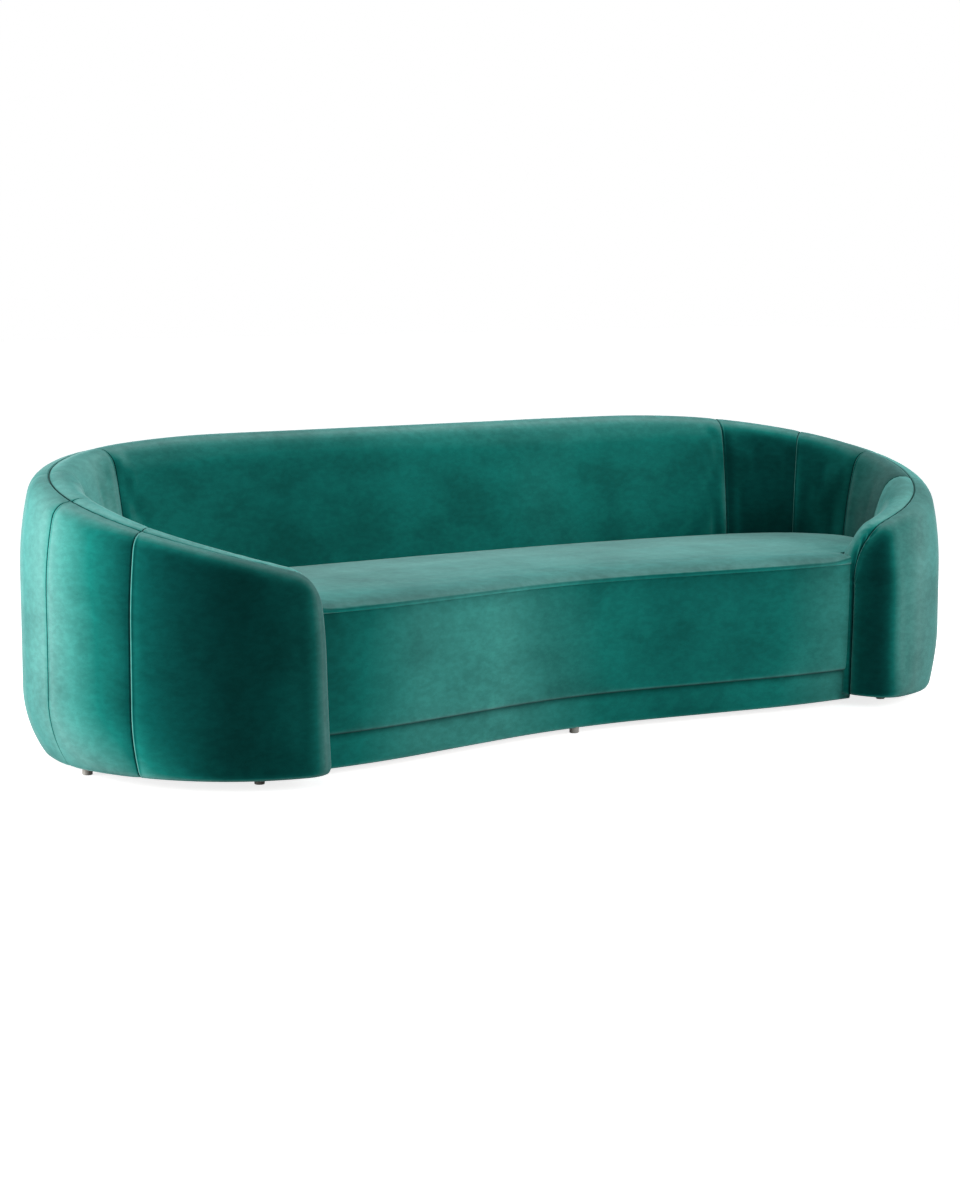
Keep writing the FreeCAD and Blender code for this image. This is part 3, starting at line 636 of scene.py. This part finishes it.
def wall_relief(side, swollen, s, down, rim_gap, tip_gaps):
    """Lift of a swollen cover by its seams, hem and gathers, and the painted shade along its seams.
    """
    lift = swollen - seam_dip(rim_gap)
    # Painted shade along the rim seam, the crossing seams and the tip seams
    shade = seam_shade(rim_gap)
    if side == "outside":
        lift += seam_ridge(rim_gap)
        lift -= hem_fold * np.exp(-down / hem_fold)
    for seam in cross_seams:
        gap = np.abs(s - seam)
        ridge_side = np.abs(s) > abs(seam)
        lift = lift - seam_dip(gap) + np.where(ridge_side, seam_ridge(gap), 0.0)
        gathers = puckers(down + s * 0.3, gap, reach=0.018, height=0.00035, pitch=0.028,
                          seed=abs(seam) * 10)
        lift += np.where(gap < 0.08, gathers, 0.0)
        shade = np.maximum(shade, seam_shade(gap))
    for gap in tip_gaps:
        gathers = puckers(down, gap, reach=0.020, height=0.0016, pitch=0.015, seed=17)
        lift = lift - seam_dip(gap) + gathers
        shade = np.maximum(shade, seam_shade(gap))
    lift += puckers(s, rim_gap, reach=0.030, height=0.0005, pitch=0.034, seed=3)
    lift += ease_in(np.abs(s), *arm_gathers) * puckers(s + down, rim_gap, reach=0.024,
                                                       height=0.0020, pitch=0.015, seed=11)
    lift += 0.0014 * swell(s * 5 + 40, down * 4, seed=2) * np.clip(rim_gap / 0.05, 0, 1)
    return lift, shade


def wall_piece(name, side, first, last, low, depth, replaced, sheet):
    """One upholstered run of the wall, with its seams, as a closed padded form."""
    stations = wall_stations(first, last)
    length = face_length[side]
    shares = spaced(length, grid_step, side == "inside", side == "outside") / length
    p = wall_grid(side, stations, shares, low=low)
    down, along = grid_lengths(p, 1), grid_lengths(p, 0)
    rim_gap = down if side == "inside" else down[:, -1:] - down
    tip_gaps = []
    if first < -nose_start:
        tip_gaps.append(along)
    if last > nose_start:
        tip_gaps.append(along[-1:] - along)
    s = np.broadcast_to(stations[:, None], rim_gap.shape)
    swollen = settled(sheet, stations, shares)
    lift, shade = wall_relief(side, swollen, s, down, rim_gap, tip_gaps)
    outer = p + outward_normals(p, side, stations) * lift[..., None]
    deepest = nose_start + (nose_length - depth) * 0.98
    inner = wall_grid(side, np.clip(stations, -deepest, deepest), shares, inset=depth, low=low)
    # Panel tones: partly the pile's lie, partly painted light and shade
    tone_factor = np.interp(s, *nap_and_painted_light_tones[side])
    piece = closed_grid(name, outer, inner, shade, tone_factor)
    finish_piece(piece, "velvet", replaced)


def finish_piece(piece, slot, replaced):
    """Gives a piece its material, hangs it under the root body and hides the solids it stands for.
    """
    piece.data.materials.append(materials[slot])
    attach(piece, "root")
    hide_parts(*replaced)


# Front line of the seat, by its distance from the middle
front_bow = front_bow_radius * front_bow_turn


def front_frame(distance):
    """Place and heading on the front line: a bow, a straight, a bow back and a straight end."""
    rest = np.abs(distance)
    side = np.where(distance < 0, -1.0, 1.0)
    turned_out = np.minimum(rest, front_bow) / front_bow_radius
    x = front_bow_radius * np.sin(turned_out)
    y = -front_bow_radius * (1 - np.cos(turned_out))
    step = np.clip(rest - front_bow, 0, front_straight)
    x = x + step * math.cos(front_bow_turn)
    y = y - step * math.sin(front_bow_turn)
    step = np.clip(rest - front_bow - front_straight, 0, front_bow)
    turned_back = front_bow_turn - step / front_bow_radius
    x = x + front_bow_radius * (math.sin(front_bow_turn) - np.sin(turned_back))
    y = y - front_bow_radius * (np.cos(turned_back) - math.cos(front_bow_turn))
    last = np.maximum(rest - 2 * front_bow - front_straight, 0)
    heading = np.where(rest <= front_bow, turned_out, turned_back)
    return (x + last) * side, y, heading * side


def front_point(distance, inset, z):
    """Point at a distance along the front line, an inset behind it, and a height."""
    x, y, heading = front_frame(distance)
    middle = centre_shift - seat_depth_to_seam
    return np.stack([x + inset * np.sin(heading), middle + y + inset * np.cos(heading),
                     z + 0 * x], -1)


def front_half():
    """Distance along the front line at which it meets the nose of the arm."""
    half_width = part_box("cover_apron")[1].x
    steps = np.linspace(0.5, 1.2, 1401)
    x = front_point(steps, 0.0, 0.0)[:, 0]
    return float(np.interp(half_width, x, steps))


def seam_height(distance):
    """Height of the seat's front seam, drawn up a little beside the arms."""
    rise = ease_in(np.abs(distance), front_half() - seam_rise_length,
                   front_half() + apron_overlap)
    return seat_seam_height + seam_end_rise * rise ** 2


def apron():
    """Front panel below the seat: padded, drawn in at its top seam, turned under below."""
    half = front_half() + apron_overlap
    along = -half + spaced(2 * half, 0.014, True, True)
    low = apron_bottom - hem_lowered
    up = spaced(seat_seam_height - low, grid_step, True, True)
    share = up[None, :] / up[-1]
    t = along[:, None] + 0 * share
    height = seam_height(t) - 0.0008 - low
    h = share * height
    gap = height - h
    end = half - np.abs(t)
    lift = apron_bulge * (1 - (2 * share - 1) ** 4) - apron_bulge
    lift = lift - seam_dip(gap) - hem_fold * np.exp(-(h / hem_fold) ** 1.2)
    lift = lift - 0.004 * np.exp(-end / 0.008)
    lift = lift + puckers(t, gap, reach=0.02, height=0.0003, pitch=0.05, seed=21)
    lift = lift + 0.0009 * swell(t * 4 + 9, h * 5, seed=8)
    outer = front_point(t, -lift, low + h)
    inner = front_point(t, apron_depth + 0 * t, low + h)
    # Painted shade in the top seam and a painted shadow line along the hem; the tone follows the
    # front table's painted light and shade and darkens towards the top seam
    shade = np.maximum(seam_shade(gap), 0.8 * seam_shade(h / 2.5))
    tone_factor = np.interp(t, *nap_and_painted_light_tones["front"]) * np.interp(gap, [0.004, 0.05], [0.82, 1.0])
    piece = closed_grid("apron_pad", outer, inner, shade, tone_factor)
    finish_piece(piece, "velvet", ("cover_apron", "foam_apron"))


def plinth():
    """Recessed skirt board's cover, turned under at the bottom, with painted shade below the apron.
    """
    half = front_half() + plinth_overlap
    along = -half + spaced(2 * half, 0.020)
    low, high = plinth_gap - hem_lowered, apron_bottom + plinth_tucked
    up = spaced(high - low, 0.010, True, False)
    t, h = np.meshgrid(along, up, indexing="ij")
    fold = 0.003 * np.exp(-(h / 0.003) ** 1.2)
    outer = front_point(t, plinth_recess + fold, low + h)
    inner = front_point(t, plinth_recess + velvet + 0.0018 + 0 * t, low + h)
    # Painted shade: the tone falls to 0.40 just below the apron
    tone_factor = np.interp(high - low - h, [0.006, 0.022], [0.40, 1.0])
    piece = closed_grid("plinth_skirt", outer, inner, 0.0, tone_factor)
    finish_piece(piece, "velvet", ("cover_plinth",))


def seat_end(half):
    """Plan line of the seat's right end, round the arm's nose and out to the front corner."""
    turns = np.linspace(0, math.pi / 2, 200)
    stations = nose_start + (nose_length + seat_clearance) * nose_share(turns)
    depth = (wall_in * arm_thinning(stations) + seat_clearance) * nose_share(math.pi / 2 - turns)
    line = rim_point(stations, -depth, seat_seam_height) * [1, 1, 0]
    corner = front_point(np.array([half]), 0.0, 0.0)[0]
    line = line[line[:, 1] > corner[1] + 0.015]
    return np.concatenate([line, [corner]])


def patch(front, back, left, right, u, w):
    """Surface between four edge lines, blended from all of them."""
    u, w = u[:, None, None], w[None, :, None]
    ruled = front[:, None] * (1 - w) + back[:, None] * w
    ends = left[None] * (1 - u) + right[None] * u
    corners = ((front[0] * (1 - u) + front[-1] * u) * (1 - w)
               + (back[0] * (1 - u) + back[-1] * u) * w)
    return ruled + ends - corners


def seat_height(p, seam, to_front, to_wall):
    """Height of the seat's top: crown, seam, gathers, tuck along the wall, unevenness."""
    z = seam + (seat_crown_height - seam) * crown(to_front)
    fall = seat_crown_height - seat_back_height + 0.003
    z = z - fall * np.clip((to_front - 0.33) / 0.35, 0, 1)
    z = z - 0.6 * seam_dip(to_front) + seam_ridge(to_front, height=0.0022)
    z = z + puckers(p[..., 0], to_front, reach=0.03, height=0.0004, pitch=0.045, seed=31)
    tuck = 0.010 * np.exp(-to_wall / 0.007) + 0.005 * np.exp(-to_wall / 0.05)
    z = z - ease_in(to_front, 0.02, 0.12) * tuck
    uneven = 0.0016 * swell(p[..., 0] * 3 + 20, p[..., 1] * 4, seed=4)
    return z + uneven * np.clip(to_front / 0.1, 0, 1)


def seat():
    """Tight seat: crowned, its front edge rounded to the seam and its back tucked in."""
    half = front_half() + seat_overlap
    end_line = seat_end(half)
    w = spaced(seat_grid_depth, grid_step, True, True) / seat_grid_depth
    even = np.linspace(0, 1, seat_columns)
    eased = 0.5 * (1 - np.cos(math.pi * even))
    u = (1 - seat_end_share) * even + seat_end_share * eased
    front = front_point((2 * u - 1) * half, 0.0, 0.0)
    back_s = (2 * u - 1) * nose_start
    back = rim_point(back_s, -(wall_in * arm_thinning(back_s) + seat_clearance), 0.0)
    steps = np.r_[0, np.cumsum(np.linalg.norm(np.diff(end_line, axis=0), axis=1))]
    steps /= steps[-1]
    right = np.stack([np.interp(1 - w, steps, end_line[:, i]) for i in range(3)], -1)
    p = patch(front, back, right * [-1, 1, 1], right, u, w)
    past = half + front_line_spare
    front_line = front_point(np.linspace(-past, past, front_line_points), 0.0, 0.0)
    wall_line = np.concatenate([(end_line * [-1, 1, 1])[:0:-1], back, end_line[:-1]])
    flat = p[..., :2].reshape(-1, 2)
    to_front = nearest(flat, front_line[:, :2]).reshape(p.shape[:2])
    to_wall = nearest(flat, wall_line[:, :2]).reshape(p.shape[:2])
    seam = seam_height((2 * u[:, None] - 1) * half + 0 * to_front)
    z = seat_height(p, seam, to_front, to_wall)
    outer = np.concatenate([p[..., :2], z[..., None]], -1)
    bottom = p.copy()
    behind_apron = np.maximum(0.0, to_front - apron_depth - 0.002)
    bottom[..., 2] = np.maximum(seat_seam_height - 0.003 - 4 * behind_apron,
                                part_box("foam_seat")[0].z)
    far = ease_in(to_front, 0.15, 0.30)
    # Painted shade in the front seam and along the tuck at the wall; the tone paints a light line
    # on the seam and shade on the front roll
    shade = np.maximum(seam_shade(to_front) * 0.3, 0.6 * seam_shade(to_wall / 4) * far)
    tone_factor = np.interp(to_front, [0.0, 0.0008, 0.0018, 0.02, 0.08], [1.5, 1.3, 0.76, 0.78, 1.0])
    piece = closed_grid("seat_pad", outer, bottom, shade, tone_factor)
    finish_piece(piece, "velvet", ("cover_seat", "foam_seat"))


def nearest(points, line):
    """Distance of each point from a polyline, worked out block by block."""
    block_size = 2000
    starts, runs = line[:-1], line[1:] - line[:-1]
    result = []
    for first in range(0, len(points), block_size):
        rel = points[first:first + block_size, None] - starts[None]
        t = np.clip((rel * runs[None]).sum(-1) / np.maximum((runs ** 2).sum(-1), 1e-12), 0, 1)
        gap = rel - t[..., None] * runs[None]
        result.append(np.sqrt((gap ** 2).sum(-1)).min(1))
    return np.concatenate(result)


def crown(distance):
    """Share of the seat's crown at a distance behind its front seam."""
    marks = np.array([0, 0.003, 0.010, 0.022, 0.045, 0.080, 0.130, 0.200, 0.330, 2.0])
    share = np.array([0, 0.13, 0.30, 0.46, 0.62, 0.75, 0.86, 0.94, 1.0, 1.0])
    return np.interp(distance, marks, share)


# Materials
def material(name):
    """New material, with its node tree and its shader node."""
    mat = bpy.data.materials.new(name)
    mat.use_nodes = True
    tree = mat.node_tree
    return mat, tree, tree.nodes["Principled BSDF"]


def add(tree, kind, **settings):
    """New node; a setting that starts with in_ is the value of an input."""
    node = tree.nodes.new(kind)
    for key, value in settings.items():
        if key.startswith("in_"):
            node.inputs[key[3:].replace("_", " ")].default_value = value
        else:
            setattr(node, key, value)
    return node


def noise_at(tree, scale, detail=4.0, rough=0.55, stretch=None, seed=0.0):
    """Noise fixed to the object, shifted by a seed."""
    place = add(tree, "ShaderNodeTexCoord")
    shift = add(tree, "ShaderNodeMapping", in_Location=(seed, seed * 0.7, seed * 0.3))
    if stretch:
        shift.inputs["Scale"].default_value = stretch
    tree.links.new(place.outputs["Object"], shift.inputs["Vector"])
    tex = add(tree, "ShaderNodeTexNoise", in_Scale=scale, in_Detail=detail, in_Roughness=rough)
    tree.links.new(shift.outputs["Vector"], tex.inputs["Vector"])
    return tex.outputs["Fac"]


def ramp(tree, source, stops):
    """Colours from a value, by stops of place and colour."""
    node = add(tree, "ShaderNodeValToRGB")
    elements = node.color_ramp.elements
    while len(elements) < len(stops):
        elements.new(0.5)
    for element, (place, colour) in zip(elements, stops):
        element.position = place
        element.color = (*colour, 1.0)
    tree.links.new(source, node.inputs["Fac"])
    return node.outputs["Color"]


def grey(value):
    """Colour of equal red, green and blue."""
    return (value, value, value)


def mix(tree, kind, factor, a, b):
    """Blend of two colours; each value is a number, a colour or another node's output."""
    node = add(tree, "ShaderNodeMix", data_type="RGBA", blend_type=kind)
    sockets = (node.inputs["Factor"], node.inputs[6], node.inputs[7])
    for socket, value in zip(sockets, (factor, a, b)):
        if isinstance(value, (int, float)):
            socket.default_value = value
        elif isinstance(value, tuple):
            socket.default_value = (*value, 1.0)
        else:
            tree.links.new(value, socket)
    return node.outputs[2]


def bump(tree, shader, source, strength, distance):
    """Adds a bump to the shader, on top of those that it has."""
    node = add(tree, "ShaderNodeBump", in_Strength=strength, in_Distance=distance)
    tree.links.new(source, node.inputs["Height"])
    if shader.inputs["Normal"].links:
        tree.links.new(shader.inputs["Normal"].links[0].from_socket, node.inputs["Normal"])
    tree.links.new(node.outputs["Normal"], shader.inputs["Normal"])


def velvet_material():
    """Short pile with a painted sheen: its colour follows the angle of sight, deep end on, paler
    along the surface.
    """
    mat, tree, shader = material("velvet")
    sheen = add(tree, "ShaderNodeLayerWeight", in_Blend=0.5)
    broad = noise_at(tree, 1.9, 3.0, 0.5, seed=2.0)
    brushed = noise_at(tree, 7.0, 5.0, 0.60, stretch=(0.8, 0.8, 1.2), seed=5.0)
    marks = noise_at(tree, 60.0, 3.0, 0.60, stretch=(0.7, 0.7, 1.3), seed=9.0)
    pile = noise_at(tree, 900.0, 2.0, 0.6)
    # Painted sheen: the base colour is read from the angle of sight, and its uneven stops also
    # paint light and shade for one view
    painted_sheen = ramp(tree, sheen.outputs["Facing"], [
        (0.00, (0.0020, 0.062, 0.056)),
        (0.09, (0.0030, 0.105, 0.092)),
        (0.22, (0.0090, 0.205, 0.174)),
        (0.36, (0.0620, 0.290, 0.256)),
        (0.52, (0.1250, 0.335, 0.306)),
        (0.80, (0.0720, 0.280, 0.256)),
        (1.00, (0.1600, 0.330, 0.310)),
    ])
    tone = ramp(tree, broad, [(0.34, grey(0.86)), (0.66, grey(1.12))])
    colour = mix(tree, "MULTIPLY", 1.0, painted_sheen, tone)
    tone_factor = ramp(tree, brushed, [(0.38, grey(0.84)), (0.50, grey(1.0)), (0.64, grey(1.10))])
    colour = mix(tree, "MULTIPLY", 1.0, colour, tone_factor)
    fine = ramp(tree, marks, [(0.40, grey(0.93)), (0.62, grey(1.08))])
    colour = mix(tree, "MULTIPLY", 1.0, colour, fine)
    grain = ramp(tree, pile, [(0.3, grey(0.90)), (0.7, grey(1.10))])
    colour = mix(tree, "MULTIPLY", 1.0, colour, grain)
    # Panel tones with painted light and shade, then the painted shade of seams and crevices, mixed
    # towards near black
    lie_and_painted_light = add(tree, "ShaderNodeAttribute", attribute_name="tone_factor")
    colour = mix(tree, "MULTIPLY", 1.0, colour, lie_and_painted_light.outputs["Color"])
    seam = add(tree, "ShaderNodeAttribute", attribute_name="seam")
    colour = mix(tree, "MIX", seam.outputs["Fac"], colour, (0.0015, 0.030, 0.028))
    tree.links.new(colour, shader.inputs["Base Color"])
    rough = ramp(tree, brushed, [(0.3, grey(0.74)), (0.7, grey(0.90))])
    tree.links.new(rough, shader.inputs["Roughness"])
    shader.inputs["Specular IOR Level"].default_value = 0.02
    shader.inputs["Sheen Weight"].default_value = 0.35
    shader.inputs["Sheen Roughness"].default_value = 0.30
    shader.inputs["Sheen Tint"].default_value = (0.62, 1.0, 0.96, 1.0)
    bump(tree, shader, brushed, 0.15, 0.006)
    bump(tree, shader, marks, 0.30, 0.0012)
    bump(tree, shader, pile, 0.25, 0.0006)
    return mat


def simple_material(name, dark, light, scale, rough, stretch=None, metallic=0.0, depth=0.0005):
    """Finish mottled by one noise between a dark and a light colour."""
    mat, tree, shader = material(name)
    fac = noise_at(tree, scale, 6.0, 0.6, stretch=stretch)
    colour = ramp(tree, fac, [(0.30, dark), (0.70, light)])
    tree.links.new(colour, shader.inputs["Base Color"])
    smoother, rougher = max(rough - 0.08, 0.05), min(rough + 0.08, 1)
    tone = ramp(tree, fac, [(0.3, grey(smoother)), (0.7, grey(rougher))])
    tree.links.new(tone, shader.inputs["Roughness"])
    shader.inputs["Metallic"].default_value = metallic
    bump(tree, shader, fac, 0.4, depth)
    return mat


materials = {
    "velvet": velvet_material(),
    "timber": simple_material("timber", (0.36, 0.22, 0.11), (0.62, 0.45, 0.27), 14, 0.6,
                              stretch=(0.4, 4.0, 4.0)),
    "fibre_board": simple_material("fibre_board", (0.20, 0.13, 0.07), (0.33, 0.23, 0.13), 90, 0.8),
    "foam": simple_material("foam", (0.70, 0.64, 0.42), (0.84, 0.79, 0.58), 160, 0.95),
    "felt": simple_material("felt", (0.12, 0.11, 0.10), (0.34, 0.31, 0.29), 220, 0.95),
    "webbing": simple_material("webbing", (0.015, 0.015, 0.016), (0.05, 0.05, 0.052), 300, 0.8,
                               stretch=(1, 1, 0.2)),
    "steel": simple_material("steel", (0.34, 0.35, 0.36), (0.58, 0.59, 0.60), 60, 0.35,
                             metallic=1.0, depth=0.0001),
    "dust_cloth": simple_material("dust_cloth", (0.008, 0.008, 0.009), (0.025, 0.025, 0.027),
                                  260, 0.9),
    "glide_plastic": simple_material("glide_plastic", (0.34, 0.32, 0.29), (0.46, 0.44, 0.40),
                                     80, 0.5, depth=0.0001),
}


def dress_frame():
    """Gives each carried-over node the finish of its material slot."""
    slots = {part["node"]: part["material_slot"] for part in frame["record"]["subparts"]}
    for name, obj in nodes.items():
        if name.startswith(("cover_", "foam_", "padding_")):
            continue
        obj.data.materials.clear()
        obj.data.materials.append(materials[slots[name]])


# Upholstery
def wall_runs():
    """Name, side, first and last station, lower edge, thickness and CAD nodes of each run."""
    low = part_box("foam_back")[0].z
    runs = [
        ("back_outside", "outside", -corner_seam, corner_seam, ground_gap, padding_depth,
         ("cover_outside_back", "padding_back")),
        ("back_inside", "inside", -corner_seam, corner_seam, low, foam_depth,
         ("cover_inside_back", "foam_back")),
    ]
    for side, sign in (("left", -1), ("right", 1)):
        outside = ["cover_outside_" + place + "_" + side
                   for place in ("corner", "end", "arm", "front")]
        inside = ["cover_inside_" + place + "_" + side for place in ("corner", "end", "arm")]
        corner, front, end = sign * corner_seam, sign * front_seam, sign * tip
        runs += [
            ("side_outside_" + side, "outside", *sorted((corner, end)), ground_gap,
             padding_depth, (*outside, "padding_" + side)),
            ("corner_inside_" + side, "inside", *sorted((corner, front)), low, foam_depth,
             (*inside, "foam_corner_" + side)),
            ("arm_inside_" + side, "inside", *sorted((front, end)), ground_gap, foam_depth,
             ("cover_inside_front_" + side, "foam_arm_" + side)),
        ]
    return runs


def dress_wall():
    """All runs of the wall's covers, swollen by the simulation."""
    runs = wall_runs()
    swells = {}
    swells = simulate_covers([run[:5] for run in runs])
    for run in runs:
        wall_piece(*run, swells.get(run[0]))


dress_frame()
dress_wall()
seat()
apron()
plinth()


# Camera at the place that the outlines in the photograph give
camera_place = (-4.395, -5.529, 1.178)
camera_heading = math.radians(37.87)
camera_pitch = math.radians(7.01)
focal_pixels = 2771.3
frame_height_pixels = 1200
sensor = 36.0

# Floor and light round the sofa
floor_half = 30.0
floor_glow = 0.80
ambient_colour = (0.93, 0.97, 1.0, 1.0)
ambient_strength = 0.28


def make_camera():
    """Camera whose focal length is given in pixels of its picture."""
    data = bpy.data.cameras.new("camera")
    data.sensor_width = sensor
    data.lens = focal_pixels * sensor / frame_height_pixels
    camera = bpy.data.objects.new("camera", data)
    camera.location = camera_place
    camera.rotation_euler = (math.pi / 2 - camera_pitch, 0.0, -camera_heading)
    bpy.context.scene.collection.objects.link(camera)
    bpy.context.scene.camera = camera


def make_floor():
    """Flat pale floor that glows a little to the camera alone."""
    far = floor_half
    vertices = [(-far, -far, 0), (far, -far, 0), (far, far, 0), (-far, far, 0)]
    floor = add_mesh("floor", vertices, [(0, 1, 2, 3)])
    mat, tree, shader = material("floor")
    shader.inputs["Base Color"].default_value = (0.80, 0.80, 0.80, 1.0)
    shader.inputs["Roughness"].default_value = 0.9
    path = add(tree, "ShaderNodeLightPath")
    glow = add(tree, "ShaderNodeEmission", in_Color=(1, 1, 1, 1), in_Strength=floor_glow)
    blend = add(tree, "ShaderNodeAddShader")
    pick = add(tree, "ShaderNodeMixShader")
    output = tree.nodes["Material Output"]
    tree.links.new(shader.outputs[0], blend.inputs[0])
    tree.links.new(glow.outputs[0], blend.inputs[1])
    tree.links.new(path.outputs["Is Camera Ray"], pick.inputs["Fac"])
    tree.links.new(shader.outputs[0], pick.inputs[1])
    tree.links.new(blend.outputs[0], pick.inputs[2])
    tree.links.new(pick.outputs[0], output.inputs["Surface"])
    floor.data.materials.append(mat)


def make_world():
    """Soft light from all round, and a white ground to look at and to mirror."""
    world = bpy.data.worlds.new("studio")
    bpy.context.scene.world = world
    world.use_nodes = True
    tree = world.node_tree
    around = tree.nodes["Background"]
    around.inputs["Color"].default_value = ambient_colour
    around.inputs["Strength"].default_value = ambient_strength
    seen = add(tree, "ShaderNodeBackground", in_Color=(1, 1, 1, 1), in_Strength=1.0)
    path = add(tree, "ShaderNodeLightPath")
    either = add(tree, "ShaderNodeMath", operation="MAXIMUM")
    tree.links.new(path.outputs["Is Camera Ray"], either.inputs[0])
    tree.links.new(path.outputs["Is Glossy Ray"], either.inputs[1])
    pick = add(tree, "ShaderNodeMixShader")
    tree.links.new(either.outputs[0], pick.inputs["Fac"])
    tree.links.new(around.outputs[0], pick.inputs[1])
    tree.links.new(seen.outputs[0], pick.inputs[2])
    tree.links.new(pick.outputs[0], tree.nodes["World Output"].inputs["Surface"])


def area_light(name, place, target, size, power):
    """Oblong light of a size and a power in watts, turned to a target."""
    data = bpy.data.lights.new(name, "AREA")
    data.shape = "RECTANGLE"
    data.size, data.size_y = size
    data.energy = power
    light = bpy.data.objects.new(name, data)
    light.location = place
    light.rotation_euler = (Vector(target) - Vector(place)).to_track_quat("-Z", "Y").to_euler()
    bpy.context.scene.collection.objects.link(light)


make_camera()
make_floor()
make_world()
area_light("top", (0.2, 0.9, 3.0), (0.0, -0.1, 0.4), (4.0, 2.0), 62)
area_light("left", (-3.6, 0.9, 0.7), (-1.2, -0.1, 0.4), (2.0, 1.1), 85)
area_light("front", (1.8, -4.4, 1.7), (0.0, -0.2, 0.4), (3.0, 1.6), 62)
area_light("right", (3.4, -1.0, 1.3), (1.1, -0.1, 0.4), (1.3, 1.6), 50)

settings = bpy.context.scene.view_settings
settings.view_transform = "Standard"
